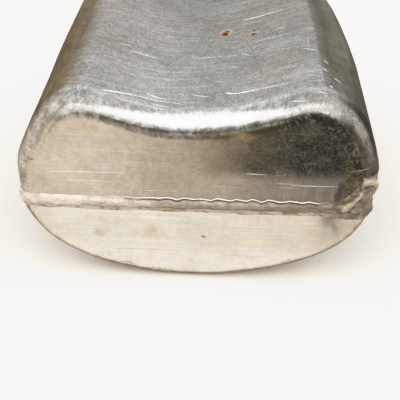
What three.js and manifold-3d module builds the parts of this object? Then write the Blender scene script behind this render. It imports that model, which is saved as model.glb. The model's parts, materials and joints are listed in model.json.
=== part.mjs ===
// Metal water canteen, kidney shaped in section, lying on its rounded front.
// Two pressed half shells joined by one weld bead, a threaded spout, a screw
// cap with its cork seal, and the chain that keeps the cap on the bottle.
// Millimetres. +Z up, the bottle's long axis along Y, its base towards -Y.
import * as THREE from 'three';
import { mergeVertices } from 'three/addons/utils/BufferGeometryUtils.js';
import Module from 'manifold-3d';

const wasm = await Module();
wasm.setup();

// ---------------------------------------------------------------- dimensions
const WALL = 1.3;              // sheet thickness of the shells
const GAP = 0.3;               // space kept between pieces that touch
const SECTION_SCALE = 0.96;    // full size of the section drawn below
const SEAM_Z = 31.2;           // height of the plane where the shells meet
const SHOULDER_Y = 118;        // where the straight body ends
const TOP_Y = 152;             // flat ring round the spout
const TOP_R = 17;              // radius of that ring
const SHOULDER_POWER = 2.0;    // roundness of the shoulder
const EDGE_FRONT = 4.5;        // base edge radius on the front shell
const EDGE_BACK = 7.5;         // base edge radius on the back shell
const RIM_GAP = 1.5;           // distance between the two shell rims
const BEAD_WIDTH = 5;          // weld bead across the seam
const BEAD_PROUD = 1.3;        // weld bead above the sheet
const SPOUT_BORE_R = 11.3;
const SPOUT_BASE_R = 14.0;
const THREAD_CORE_R = 13.2;    // spout thread root
const THREAD_CREST_R = 14.8;
const THREAD_PITCH = 4.2;
const THREAD_TURNS = 1.0;
const THREAD_START_Y = TOP_Y + 7.6;
const SPOUT_RIM_Y = TOP_Y + 19;
const CAP_R = 18.5;
const CAP_BOTTOM_Y = TOP_Y + 3.8;
const CAP_TOP_Y = TOP_Y + 25.2;
const CAP_BORE_R = 15.4;
const CAP_CEILING_Y = TOP_Y + 22.2;
const CAP_THREAD_R = 13.7;     // crest of the cap's inner thread
const PIN_R = 2.5;
const PIN_HOLE_R = 2.9;
const EYE_Y = TOP_Y + 32.2;    // centre of the eye on the cap pin
const EYE_R = 3.6;             // eye ring, centre line
const EYE_WIRE_R = 1.0;
const EYE_TURN = 33;           // degrees that the eye is turned down from level
const LINK_COUNT = 9;
const LINK_WIRE_R = 0.75;
const LINK_END_R = 2.6;        // centre line radius of a link's round end
const LINK_STRAIGHT = 4.2;
const LINK_SLACK = 0.5;        // free play where two links meet
const EYE_SLACK = 1.3;         // free play of the last link in the eye
const CHAIN_TILT = 64;         // degrees that the chain hangs below level
const BAR_R = 1.0;             // bar of the chain bracket
const BRACKET_X = 30;          // where the bracket stands on the shoulder
const BRACKET_Z = 40;
const BAR_HEIGHT = 5.4;        // bar centre above the shoulder
const LENGTH_MID = 93.725;         // half of the whole length, to centre it on Y

// Half of the body's outer section, from the front's crown (x = 0, z = 0)
// round the side to the middle of the hollow back.
const HALF_SECTION = [
  [0, 0], [6, 0.05], [13.4, 0.9], [21, 2.5], [28.7, 4.3], [36.5, 6.9], [43.8, 10.1],
  [50.7, 14.6], [55.5, 19], [58.5, 23], [60.8, 27.5], [62.4, 32.5], [63.3, 38],
  [63.5, 44], [63.2, 50], [62.3, 56], [60.3, 61.8], [57.2, 66.8], [53, 71.5],
  [47.5, 75.3], [41.5, 77], [36, 76.7], [29, 74.7], [20, 72.1], [10, 70.1], [0, 69.5],
];
const SECTION_STEPS = 32;      // per half

// ------------------------------------------------------------------- helpers
function solid(geometry) {
  let g = geometry.clone();
  for (const name of Object.keys(g.attributes)) if (name !== 'position') g.deleteAttribute(name);
  g = mergeVertices(g, 1e-4);
  const pos = g.attributes.position.array;
  const idx = g.index.array;
  const tri = [];
  let volume = 0;
  for (let i = 0; i < idx.length; i += 3) {
    const [a, b, c] = [idx[i], idx[i + 1], idx[i + 2]];
    if (a === b || b === c || a === c) continue;
    tri.push(a, b, c);
    const [A, B, C] = [a, b, c].map((k) => new THREE.Vector3(pos[3 * k], pos[3 * k + 1], pos[3 * k + 2]));
    volume += A.dot(B.cross(C));
  }
  if (volume < 0) for (let i = 0; i < tri.length; i += 3) [tri[i + 1], tri[i + 2]] = [tri[i + 2], tri[i + 1]];
  return new wasm.Manifold(new wasm.Mesh({
    numProp: 3, vertProperties: new Float32Array(pos), triVerts: new Uint32Array(tri),
  }));
}

function geometryOf(manifold) {
  const m = manifold.getMesh();
  const g = new THREE.BufferGeometry();
  const p = new Float32Array(m.numVert * 3);
  for (let i = 0; i < m.numVert; i++) {
    for (let k = 0; k < 3; k++) p[3 * i + k] = m.vertProperties[m.numProp * i + k];
  }
  g.setAttribute('position', new THREE.BufferAttribute(p, 3));
  g.setIndex(new THREE.BufferAttribute(new Uint32Array(m.triVerts), 1));
  g.computeVertexNormals();
  return g;
}

// Closed solid through a list of rings, each a list of [x, y, z]; both ends
// are closed with a fan round the ring's own middle.
function loft(rings) {
  const n = rings[0].length;
  const pos = rings.flat(2);
  const idx = [];
  for (let k = 0; k + 1 < rings.length; k++) {
    for (let i = 0; i < n; i++) {
      const a = k * n + i, b = k * n + ((i + 1) % n), c = a + n, d = b + n;
      idx.push(a, b, d, a, d, c);
    }
  }
  for (const [ring, base, flip] of [[rings[0], 0, true], [rings[rings.length - 1], (rings.length - 1) * n, false]]) {
    const mid = [0, 1, 2].map((j) => ring.reduce((s, p) => s + p[j], 0) / n);
    const m = pos.length / 3;
    pos.push(...mid);
    for (let i = 0; i < n; i++) {
      const a = base + i, b = base + ((i + 1) % n);
      if (flip) idx.push(m, b, a); else idx.push(m, a, b);
    }
  }
  const g = new THREE.BufferGeometry();
  g.setAttribute('position', new THREE.Float32BufferAttribute(pos, 3));
  g.setIndex(idx);
  return g;
}

function ringLathe(profile, segments) {
  const pts = profile.map(([r, y]) => new THREE.Vector2(r, y));
  pts.push(pts[0].clone());
  return new THREE.LatheGeometry(pts, segments);
}

function box(x0, x1, y0, y1, z0, z1) {
  const g = new THREE.BoxGeometry(x1 - x0, y1 - y0, z1 - z0);
  g.translate((x0 + x1) / 2, (y0 + y1) / 2, (z0 + z1) / 2);
  return g;
}

// ---------------------------------------------------------------- body shape
const half = new THREE.CatmullRomCurve3(
  HALF_SECTION.map(([x, z]) => new THREE.Vector3(x, z, 0).multiplyScalar(SECTION_SCALE)), false, 'centripetal',
).getSpacedPoints(SECTION_STEPS).map((p) => [p.x, p.y]);
half[0] = [0, 0];
half[1][1] = 0;                // a flat strip along the crown, to rest on
const section = [...half, ...half.slice(1, -1).reverse().map(([x, z]) => [-x, z])];
const N = section.length;
const normals = section.map((_, i) => {
  const a = section[(i + N - 1) % N], b = section[(i + 1) % N];
  const t = [b[0] - a[0], b[1] - a[1]];
  const l = Math.hypot(...t);
  return [t[1] / l, -t[0] / l];
});
normals[0] = [0, -1];
const edge = section.map(([, z]) => {
  const s = THREE.MathUtils.smoothstep(z, SEAM_Z - 6, SEAM_Z + 26);
  return EDGE_FRONT + (EDGE_BACK - EDGE_FRONT) * s;
});
const mouth = section.map((_, i) => {
  const a = (2 * Math.PI * i) / N;
  return [TOP_R * Math.sin(a), SEAM_Z - TOP_R * Math.cos(a)];
});

// The body's surface, moved out by d everywhere (in where d is negative).
function bodyRings(d) {
  const rings = [];
  for (const deg of [0, 22.5, 45, 67.5, 90]) {
    const a = THREE.MathUtils.degToRad(deg);
    rings.push(section.map(([x, z], i) => {
      const out = -edge[i] + (edge[i] + d) * Math.sin(a);
      return [x + normals[i][0] * out, edge[i] - (edge[i] + d) * Math.cos(a), z + normals[i][1] * out];
    }));
  }
  const place = (phi) => {
    const w = 1 - Math.cos(phi) ** (2 / SHOULDER_POWER);
    const y = SHOULDER_Y + (TOP_Y - SHOULDER_Y) * Math.sin(phi) ** (2 / SHOULDER_POWER);
    return section.map(([x, z], i) => new THREE.Vector3(
      x + (mouth[i][0] - x) * w, y, z + (mouth[i][1] - z) * w));
  };
  for (const deg of [0, 14, 28, 42, 55, 67, 78, 90]) {
    const phi = THREE.MathUtils.degToRad(deg);
    const at = place(phi);
    const before = place(Math.max(phi - 0.02, 0.0005)), after = place(Math.min(phi + 0.02, Math.PI / 2 - 0.0005));
    rings.push(at.map((p, i) => {
      let n;
      if (deg === 0) n = new THREE.Vector3(normals[i][0], 0, normals[i][1]);
      else if (deg === 90) n = new THREE.Vector3(0, 1, 0);
      else {
        const along = after[i].clone().sub(before[i]);
        const round = at[(i + 1) % N].clone().sub(at[(i + N - 1) % N]);
        n = along.cross(round).normalize();
        if (n.dot(new THREE.Vector3(normals[i][0], 0.6, normals[i][1])) < 0) n.negate();
      }
      const q = p.clone().addScaledVector(n, d);
      return [q.x, q.y, q.z];
    }));
  }
  return rings;
}
const body = (d) => solid(loft(bodyRings(d)));
const outer = body(0), inner = body(-WALL);

const aboutSpout = (g) => g.translate(0, 0, SEAM_Z);
const spoutHole = solid(aboutSpout(new THREE.CylinderGeometry(SPOUT_BASE_R + GAP, SPOUT_BASE_R + GAP, 30, 40).translate(0, TOP_Y, 0)));
const shell = outer.subtract(inner).subtract(spoutHole);
const frontHalf = shell.intersect(solid(box(-90, 90, -20, 200, -20, SEAM_Z - RIM_GAP / 2)));
const backHalf = shell.intersect(solid(box(-90, 90, -20, 200, SEAM_Z + RIM_GAP / 2, 120)));

// Weld bead: a cap over the seam and a web between the two rims.
const beadCap = body(BEAD_PROUD).subtract(body(GAP))
  .intersect(solid(box(-90, 90, -20, 200, SEAM_Z - BEAD_WIDTH / 2, SEAM_Z + BEAD_WIDTH / 2)));
const beadWeb = body(GAP + 0.4).subtract(body(-WALL + 0.15))
  .intersect(solid(box(-90, 90, -20, 200, SEAM_Z - RIM_GAP / 2 + GAP, SEAM_Z + RIM_GAP / 2 - GAP)));
const beadEnd = solid(aboutSpout(new THREE.CylinderGeometry(18.6, 18.6, 40, 40).translate(0, TOP_Y, 0)));
const bead = beadCap.add(beadWeb).subtract(beadEnd);

// ------------------------------------------------------------- spout and cap
// Helical ridge: section half widths at its root and crest, with faded ends.
function ridge(rootR, crestR, y0, turns, rootHalf, crestHalf, startAngle) {
  const steps = Math.round(turns * 32);
  const rings = [];
  for (let k = 0; k <= steps; k++) {
    const a = startAngle + (2 * Math.PI * turns * k) / steps;
    const y = y0 + (THREAD_PITCH * turns * k) / steps;
    const fade = Math.min(1, (k + 0.6) / 5, (steps - k + 0.6) / 5);
    const r = rootR + (crestR - rootR) * fade;
    const c = rootHalf + (crestHalf - rootHalf) * fade;
    rings.push([[rootR, -rootHalf], [r, -c], [r, c], [rootR, rootHalf]]
      .map(([q, dy]) => [q * Math.sin(a), y + dy, q * Math.cos(a)]));
  }
  return solid(loft(rings));
}
const spoutBody = solid(ringLathe([
  [SPOUT_BORE_R, TOP_Y - 3.4], [SPOUT_BASE_R, TOP_Y - 3.4], [SPOUT_BASE_R, TOP_Y + 4.2],
  [THREAD_CORE_R, TOP_Y + 5.2], [THREAD_CORE_R, SPOUT_RIM_Y - 0.6], [THREAD_CORE_R - 0.6, SPOUT_RIM_Y],
  [SPOUT_BORE_R, SPOUT_RIM_Y],
], 32));
const spout = spoutBody.add(ridge(THREAD_CORE_R - 0.25, THREAD_CREST_R, THREAD_START_Y, THREAD_TURNS, 1.1, 0.45, 0));
const spoutWeld = ringLathe([
  [SPOUT_BASE_R + GAP, TOP_Y + GAP], [18.1, TOP_Y + GAP], [17.7, TOP_Y + 1.5], [16.4, TOP_Y + 2.7],
  [SPOUT_BASE_R + GAP, TOP_Y + 3.3],
], 32);

const capBody = solid(ringLathe([
  [CAP_BORE_R, CAP_BOTTOM_Y], [CAP_R - 0.8, CAP_BOTTOM_Y], [CAP_R, CAP_BOTTOM_Y + 0.8],
  [CAP_R, CAP_TOP_Y - 2.2], [CAP_R - 0.7, CAP_TOP_Y - 0.7], [CAP_R - 2.2, CAP_TOP_Y],
  [PIN_HOLE_R, CAP_TOP_Y], [PIN_HOLE_R, CAP_CEILING_Y], [CAP_BORE_R, CAP_CEILING_Y],
], 40));
const cap = capBody.add(ridge(CAP_BORE_R + 0.25, CAP_THREAD_R, THREAD_START_Y - THREAD_PITCH / 2, THREAD_TURNS, 1.1, 0.45, 0));
const gasket = ringLathe([
  [PIN_HOLE_R, SPOUT_RIM_Y + GAP], [14.9, SPOUT_RIM_Y + GAP],
  [14.9, CAP_CEILING_Y - GAP], [PIN_HOLE_R, CAP_CEILING_Y - GAP],
], 32);
const retainer = ringLathe([
  [PIN_HOLE_R, SPOUT_RIM_Y - 1.4], [10, SPOUT_RIM_Y - 1.4], [10.4, SPOUT_RIM_Y - 1],
  [10.4, SPOUT_RIM_Y], [PIN_HOLE_R, SPOUT_RIM_Y],
], 32);
const washer = ringLathe([
  [PIN_HOLE_R, SPOUT_RIM_Y - 2.6], [5.5, SPOUT_RIM_Y - 2.6], [5.5, SPOUT_RIM_Y - 1.7],
  [PIN_HOLE_R, SPOUT_RIM_Y - 1.7],
], 24);
const pinStem = solid(new THREE.LatheGeometry([
  [0, -4.3], [3, -4.3], [4.1, -3.8], [4.1, -2.9], [PIN_R, -2.9], [PIN_R, 6.5], [4.3, 6.5],
  [4.3, 7.4], [PIN_R, 7.9], [2.0, 10.1], [0, 10.1],
].map(([r, y]) => new THREE.Vector2(r, SPOUT_RIM_Y + y)), 20));
const eyeTurn = THREE.MathUtils.degToRad(EYE_TURN);
const eyeRing = solid(new THREE.TorusGeometry(EYE_R, EYE_WIRE_R, 8, 22).rotateY(eyeTurn).translate(0, EYE_Y, 0));
const pin = pinStem.add(eyeRing);

// --------------------------------------------------------------------- chain
const V = (x, y, z) => new THREE.Vector3(x, y, z);
// Where the bracket stands: the point of the shoulder above (x, z), found on
// the body's rings, and the direction that faces away from it there.
function onShoulder(x, z) {
  const ray = new THREE.Raycaster(V(x, 400, z), V(0, -1, 0));
  const mesh = new THREE.Mesh(geometryOf(outer), new THREE.MeshBasicMaterial());
  mesh.updateMatrixWorld(true);
  const hit = ray.intersectObject(mesh)[0];
  return { point: hit.point, normal: hit.face.normal.clone() };
}
const seat = onShoulder(BRACKET_X, BRACKET_Z);
const PITCH = LINK_STRAIGHT + 2 * LINK_END_R - 2 * LINK_WIRE_R - LINK_SLACK;
const barCentre = seat.point.clone().addScaledVector(seat.normal, BAR_HEIGHT);
const eyeWire = V(EYE_R * Math.cos(eyeTurn), EYE_Y, SEAM_Z - EYE_R * Math.sin(eyeTurn)); // where the chain pulls

// Angles of n equal links that hang evenly between two points.
function hangAngles(n, pitch, span) {
  let lo = 0.01, hi = 200;
  const reach = (a) => {
    let s = 0;
    for (let i = 0; i < n; i++) s += Math.cos(Math.atan((i - (n - 1) / 2) / a)) * pitch;
    return s;
  };
  for (let k = 0; k < 80; k++) {
    const mid = (lo + hi) / 2;
    if (reach(mid) < span) lo = mid; else hi = mid;
  }
  return Array.from({ length: n }, (_, i) => -Math.atan((i - (n - 1) / 2) / lo));
}
// The first and last pivots depend a little on the end links' directions, so
// the shape is found by a few repeats.
let start = barCentre.clone(), end = eyeWire.clone();
let chain;
for (let k = 0; k < 30; k++) {
  const along = end.clone().sub(start);
  const u = along.clone().normalize();
  const side = V(u.y, -u.x, 0).normalize();
  const tilt = THREE.MathUtils.degToRad(CHAIN_TILT);
  const v = side.multiplyScalar(Math.cos(tilt)).addScaledVector(V(0, 0, -1), Math.sin(tilt));
  v.addScaledVector(u, -v.dot(u)).normalize();
  const w = u.clone().cross(v);
  const dirs = hangAngles(LINK_COUNT, PITCH, along.length())
    .map((a) => u.clone().multiplyScalar(Math.cos(a)).addScaledVector(v, Math.sin(a)));
  chain = { u, v, w, dirs };
  start = barCentre.clone().addScaledVector(dirs[0], -(BAR_R + LINK_SLACK / 2));
  end = eyeWire.clone().addScaledVector(dirs[LINK_COUNT - 1], EYE_WIRE_R + EYE_SLACK - LINK_SLACK / 2);
}
const pivots = [start];
for (const d of chain.dirs) pivots.push(pivots[pivots.length - 1].clone().addScaledVector(d, PITCH));

class Stadium extends THREE.Curve {
  getPoint(t) {
    const s = LINK_STRAIGHT, r = LINK_END_R, arc = Math.PI * r, total = 2 * (s + arc);
    let q = (((t % 1) + 1) % 1) * total;
    if (q < s) return V(q - s / 2, -r, 0);
    q -= s;
    if (q < arc) return V(s / 2 + r * Math.sin(q / r), -r * Math.cos(q / r), 0);
    q -= arc;
    if (q < s) return V(s / 2 - q, r, 0);
    q -= s;
    return V(-s / 2 - r * Math.sin(q / r), r * Math.cos(q / r), 0);
  }
}
const linkGeometry = geometryOf(solid(new THREE.TubeGeometry(new Stadium(), 24, LINK_WIRE_R, 6, true)));

// Links are quarter turned one after another. The first one's flat faces the
// bracket's bar and the last one's faces the wire of the eye, so the chain
// carries a slight even twist between them.
const barDir = seat.normal.clone().cross(chain.dirs[0]).normalize();
const lastDir = chain.dirs[LINK_COUNT - 1];
const eyeDir = V(0, 1, 0).addScaledVector(lastDir, -lastDir.y).normalize();
const rollOf = (n, dir) => Math.atan2(n.dot(chain.w.clone().cross(dir)), n.dot(chain.w));
const rollStart = rollOf(barDir, chain.dirs[0]);
const quarter = Math.PI / 2;
let twist = rollOf(eyeDir, lastDir) - rollStart - (LINK_COUNT - 1) * quarter;
twist -= Math.round(twist / Math.PI) * Math.PI;
const rolls = chain.dirs.map((_, i) => rollStart + i * (quarter + twist / (LINK_COUNT - 1)));

// Bracket: a strap foot on the shoulder and a round bar bent over it.
const across = barDir.clone().cross(seat.normal);
const seatFrame = new THREE.Matrix4().makeBasis(barDir, seat.normal, across).setPosition(seat.point);
const foot = solid(new THREE.BoxGeometry(16, 4.4, 7).translate(0, -0.9, 0).applyMatrix4(seatFrame)).subtract(body(GAP));
class Staple extends THREE.Curve {
  getPoint(t) {
    const w = 3.9, top = BAR_HEIGHT, r = 1.9;
    const pts = [[-w, 0.9], [-w, top - r], [-w + r * 0.293, top - r * 0.293], [-w + r, top],
      [w - r, top], [w - r * 0.293, top - r * 0.293], [w, top - r], [w, 0.9]];
    const q = Math.min(t, 0.999999) * (pts.length - 1), i = Math.floor(q), f = q - i;
    return V(pts[i][0] + (pts[i + 1][0] - pts[i][0]) * f, pts[i][1] + (pts[i + 1][1] - pts[i][1]) * f, 0);
  }
}
const barOutline = new THREE.Shape();
for (let i = 0; i < 8; i++) {
  const a = (i * Math.PI) / 4;
  if (i) barOutline.lineTo(BAR_R * Math.cos(a), BAR_R * Math.sin(a)); else barOutline.moveTo(BAR_R, 0);
}
const barSolid = solid(new THREE.ExtrudeGeometry(barOutline, { steps: 14, extrudePath: new Staple() }).applyMatrix4(seatFrame));
const bracket = foot.add(barSolid);

// -------------------------------------------------------------------- model
const aluminium = (color, roughness) => new THREE.MeshStandardMaterial({ color, roughness, metalness: 0.9 });
const group = new THREE.Group();
group.name = 'canteen';
group.position.set(0, -LENGTH_MID, 0);
function add(name, geometry, material) {
  const mesh = new THREE.Mesh(geometry, material);
  mesh.name = name;
  group.add(mesh);
  return mesh;
}
add('front_shell', geometryOf(frontHalf), aluminium(0xcfc6b4, 0.45));
add('back_shell', geometryOf(backHalf), aluminium(0xa7aaa5, 0.4));
add('seam_weld', geometryOf(bead), aluminium(0xd8c9b0, 0.55));
const spoutAxis = new THREE.Group();
spoutAxis.position.z = SEAM_Z;
group.add(spoutAxis);
function addOnSpout(name, geometry, material) {
  const mesh = new THREE.Mesh(geometry, material);
  mesh.name = name;
  spoutAxis.add(mesh);
}
addOnSpout('spout', geometryOf(spout), aluminium(0xb5b5b0, 0.4));
addOnSpout('spout_weld', geometryOf(solid(spoutWeld)), aluminium(0xc8bfae, 0.55));
addOnSpout('cap', geometryOf(cap), aluminium(0xb2b2ae, 0.38));
addOnSpout('cap_gasket', geometryOf(solid(gasket)), new THREE.MeshStandardMaterial({ color: 0x8a6848, roughness: 0.9, metalness: 0 }));
addOnSpout('gasket_retainer', geometryOf(solid(retainer)), aluminium(0xb0b0ac, 0.4));
addOnSpout('cap_pin', geometryOf(pin), aluminium(0x9c9a94, 0.4));
addOnSpout('pin_washer', geometryOf(solid(washer)), aluminium(0x9c9a94, 0.4));
add('chain_bracket', geometryOf(bracket), aluminium(0x9f9d97, 0.42));
chain.dirs.forEach((dir, i) => {
  const normal = chain.w.clone().multiplyScalar(Math.cos(rolls[i]))
    .addScaledVector(chain.w.clone().cross(dir), Math.sin(rolls[i]));
  const third = normal.clone().cross(dir);
  const link = add(`chain_link_${String(i + 1).padStart(2, '0')}`, linkGeometry, aluminium(0x8f8d88, 0.4));
  link.applyMatrix4(new THREE.Matrix4().makeBasis(dir, third, normal)
    .setPosition(pivots[i].clone().add(pivots[i + 1]).multiplyScalar(0.5)));
});
group.userData = { pivots, chain, barCentre, eyeWire, seat, volume: inner.volume() };

export default group;
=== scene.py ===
import json
import math

import bpy
import numpy as np
from mathutils import Matrix, Vector

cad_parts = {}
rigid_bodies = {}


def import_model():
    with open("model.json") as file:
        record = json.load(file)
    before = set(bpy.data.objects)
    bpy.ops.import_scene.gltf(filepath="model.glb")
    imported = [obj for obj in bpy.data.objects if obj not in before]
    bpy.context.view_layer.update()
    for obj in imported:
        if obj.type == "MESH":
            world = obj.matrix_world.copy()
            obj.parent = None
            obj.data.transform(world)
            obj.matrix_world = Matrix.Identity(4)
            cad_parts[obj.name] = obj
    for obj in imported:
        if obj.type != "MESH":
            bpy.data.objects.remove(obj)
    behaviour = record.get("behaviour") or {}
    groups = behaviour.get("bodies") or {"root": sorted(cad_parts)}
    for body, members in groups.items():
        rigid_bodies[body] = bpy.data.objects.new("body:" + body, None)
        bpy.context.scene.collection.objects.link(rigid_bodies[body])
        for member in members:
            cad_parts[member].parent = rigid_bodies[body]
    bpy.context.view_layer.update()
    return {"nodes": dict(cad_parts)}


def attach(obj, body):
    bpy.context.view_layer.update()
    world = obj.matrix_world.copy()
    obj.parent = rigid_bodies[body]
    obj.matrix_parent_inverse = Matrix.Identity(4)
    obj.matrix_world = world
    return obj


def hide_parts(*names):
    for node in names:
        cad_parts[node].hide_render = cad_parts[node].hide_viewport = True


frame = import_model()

# A worn metal canteen, kidney shaped in section, lying on its rounded front. Lengths here are millimetres on the
# bottle's own axis (y = 0 at its base) until a mesh is made, which turns them into metres in the shared frame.
MID = 93.725                   # half of the whole length
AXIS_Z = 31.2                  # height of the spout's axis
SEAM_Z = 31.7                  # height of the plane where the shells meet
RIM = 0.75                     # each shell's rim lies this far from that plane
WALL = 1.3
SHOULDER_Y, TOP_Y, TOP_R, HOLE_R = 118.0, 152.0, 17.0, 14.3
EDGE_FRONT, EDGE_BACK = 4.2, 7.6
NS = 2880                      # samples round a dense ring


# ------------------------------------------------------------------------------------------------ small numeric kit
def smooth(a, lo, hi):
    t = np.clip((np.asarray(a, float) - lo) / (hi - lo), 0.0, 1.0)
    return t * t * (3 - 2 * t)


def _lattice(i, j, k, seed):
    h = (i * 374761393 + j * 668265263 + k * 1440662683 + seed * 1274126177) & 0xFFFFFFFF
    h = ((h ^ (h >> 13)) * 1274126177) & 0xFFFFFFFF
    h = ((h ^ (h >> 15)) * 2246822519) & 0xFFFFFFFF
    return ((h ^ (h >> 16)) & 0xFFFFFF) / float(0xFFFFFF) * 2.0 - 1.0


def noise(p, size, seed=0, octaves=1, rough=0.5):
    """Smooth value noise from -1 to 1 at points p (n x 3), with features about size mm wide."""
    p = np.asarray(p, float).reshape(-1, 3)
    size = np.broadcast_to(np.asarray(size, float), (3,))
    out, amp, total = np.zeros(len(p)), 1.0, 0.0
    for o in range(octaves):
        q = p / size * 2.0 ** o + 17.3 * (o + 1) + seed * 3.7
        c = np.floor(q).astype(np.int64)
        f = q - c
        f = f * f * f * (f * (f * 6 - 15) + 10)
        acc = np.zeros(len(p))
        for dx in (0, 1):
            wx = f[:, 0] if dx else 1 - f[:, 0]
            for dy in (0, 1):
                wy = f[:, 1] if dy else 1 - f[:, 1]
                for dz in (0, 1):
                    wz = f[:, 2] if dz else 1 - f[:, 2]
                    acc += wx * wy * wz * _lattice(c[:, 0] + dx, c[:, 1] + dy, c[:, 2] + dz, seed + 31 * o)
        out += amp * acc
        total += amp
        amp *= rough
    return out / total


# ------------------------------------------------------------------------------------------------------ body shape
S = 0.96
RIGHT = [(0, 0), (6, .05), (13.4, 1.0), (21.1, 2.5), (28.7, 4.2), (36.1, 6.6), (43.5, 9.7), (50.5, 14.1), (55.9, 19.2),
         (58.7, 23.2), (60.6, 27.4), (62.2, 32.3), (63.2, 38.1), (63.5, 44), (63.2, 51.1), (62.3, 57.2), (60.2, 63.2),
         (57.0, 68.4), (52.4, 73.0), (45.9, 76.6), (38.5, 77.4), (31.0, 75.9), (22.3, 73.1), (10.8, 70.2), (0, 69.2)]
LEFT = [(-9.9, .1), (-17.7, .8), (-25.5, 2.5), (-33.1, 4.4), (-40.7, 7.2), (-47.3, 10.9), (-51.3, 13.7), (-55.1, 17.2),
        (-58.3, 21.5), (-60.5, 25.2), (-62.3, 29.3), (-63.2, 33.0), (-63.5, 37.0), (-63.3, 43.5), (-62.9, 50.0),
        (-61.9, 54.8), (-60.4, 59.0), (-57.8, 64.5), (-53.9, 69.8), (-47.6, 74.6), (-40.5, 76.6), (-31.0, 74.8),
        (-21, 71.8), (-11.5, 69.7)]


def closed_outline():
    pts = np.array(RIGHT + LEFT[::-1], float) * S
    pts = np.vstack([pts, pts[:1]])
    step = np.hypot(*np.diff(pts, axis=0).T)
    at = np.concatenate([[0], np.cumsum(step)])
    n = 4096
    q = np.linspace(0, at[-1], n, endpoint=False)
    dense = np.stack([np.interp(q, at, pts[:, i]) for i in (0, 1)], 1)
    f = np.fft.fftfreq(n, at[-1] / n)
    dense = np.stack([np.fft.ifft(np.fft.fft(dense[:, i]) * np.exp(-2 * (math.pi * f * 2.3) ** 2)).real for i in (0, 1)], 1)
    dense[:, 1] = np.maximum(dense[:, 1] - dense[:, 1].min(), 0) * 0.984
    x, z = dense[:, 0].copy(), dense[:, 1].copy()
    dense[:, 1] += smooth(z, 42, 60) * np.interp(x, [-60, -51, -36, -25, -13, 1, 15, 28, 41, 51, 58],
                                                 [.5, .6, -.2, -.5, -.75, -.35, -.1, .25, 1.3, .7, .5])
    dense[:, 0] += np.sign(x) * np.where(x < 0, .6, .3) * np.exp(-((z - 44) / 6) ** 2) * smooth(np.abs(x), 45, 55)
    top = np.argmin(np.abs(dense[:, 0]) + 1e3 * (dense[:, 1] < 40))
    halves = []
    for part in (dense[:top + 1], np.vstack([dense[top:], dense[:1]])):
        d = np.concatenate([[0], np.cumsum(np.hypot(*np.diff(part, axis=0).T))])
        w = np.linspace(0, d[-1], NS // 2, endpoint=False)
        halves.append(np.stack([np.interp(w, d, part[:, i]) for i in (0, 1)], 1))
    return np.vstack(halves)


SEC = closed_outline()
_t = np.roll(SEC, -3, 0) - np.roll(SEC, 3, 0)
_t /= np.hypot(*_t.T)[:, None]
SEC_N = np.stack([_t[:, 1], -_t[:, 0]], 1)
RING_S = np.arange(NS) / NS
EDGE = EDGE_FRONT + (EDGE_BACK - EDGE_FRONT) * smooth(SEC[:, 1], SEAM_Z - 6, SEAM_Z + 24)


def ease(p):
    """The back's corners are rounder near the base, and the right side draws in a little towards the shoulder."""
    x, y, z = p.T
    w = smooth(z, 44, 58) * smooth(np.abs(x), 26, 50)
    left = np.interp(y, [0, 20, 36, 50, 63, 83, 100], [1.33, 1.22, .92, .55, .15, -.1, -.15])
    right = np.interp(y, [0, 9.5, 22, 32, 46, 59, 73, 90, 107], [1.35, 1.3, .92, .65, .36, .08, -.1, -.15, -.2])
    k = np.interp(y, [58, 79, 94, 106, 112, 119, 130, 152], [0, .014, .026, .042, .055, .074, .074, 0.0])
    out = p.copy()
    out[:, 0] = np.where(x > 0, x * (1 - k * smooth(x, 8, 45)) - w * right, x + w * left)
    return out


def ring_edge(a):
    n = np.stack([SEC_N[:, 0] * math.sin(a), np.full(NS, -math.cos(a)), SEC_N[:, 1] * math.sin(a)], 1)
    xz = SEC - SEC_N * (EDGE * (1 - math.sin(a)))[:, None]
    y = EDGE * (1 - math.cos(a))
    return ease(np.stack([xz[:, 0], y, xz[:, 1]], 1)), n


def ring_side(t):
    y = EDGE + (SHOULDER_Y - EDGE) * t
    p = np.stack([SEC[:, 0], y, SEC[:, 1]], 1)
    return ease(p), np.stack([SEC_N[:, 0], np.zeros(NS), SEC_N[:, 1]], 1)


def ring_dome(phi):
    w = 1 - math.cos(phi)
    y = SHOULDER_Y + (TOP_Y - SHOULDER_Y) * math.sin(phi)
    mx, mz = TOP_R * np.sin(2 * math.pi * RING_S), AXIS_Z - TOP_R * np.cos(2 * math.pi * RING_S)
    p = np.stack([SEC[:, 0] + (mx - SEC[:, 0]) * w, np.full(NS, y), SEC[:, 1] + (mz - SEC[:, 1]) * w], 1)
    return ease(p)


def dense_rows():
    """[(positions, normals)] round the body from the start of the base edge to the spout's hole."""
    rows = []
    for a in np.radians(np.linspace(0, 90, 15)):
        rows.append(ring_edge(float(a)))
    for t in np.linspace(0, 1, 118)[1:]:
        rows.append(ring_side(float(t)))
    phis = np.radians(np.linspace(0, 90, 48))[1:]
    for phi in phis:
        p = ring_dome(float(phi))
        a, b = ring_dome(max(float(phi) - 0.01, 0.0)), ring_dome(min(float(phi) + 0.01, math.pi / 2))
        n = np.cross(b - a, np.roll(p, -4, 0) - np.roll(p, 4, 0))
        n /= np.maximum(np.linalg.norm(n, axis=1), 1e-9)[:, None]
        out = np.stack([SEC_N[:, 0], np.full(NS, .6), SEC_N[:, 1]], 1)
        n *= np.sign((n * out).sum(1))[:, None]
        if phi > 1.5:
            n = np.tile([0.0, 1.0, 0.0], (NS, 1))
        rows.append((p, n))
    for r in (15.6, HOLE_R):
        p = np.stack([r * np.sin(2 * math.pi * RING_S), np.full(NS, TOP_Y), AXIS_Z - r * np.cos(2 * math.pi * RING_S)], 1)
        rows.append((p, np.tile([0.0, 1.0, 0.0], (NS, 1))))
    return rows


ROWS = dense_rows()
_q = SEC[:, 1]


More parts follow.
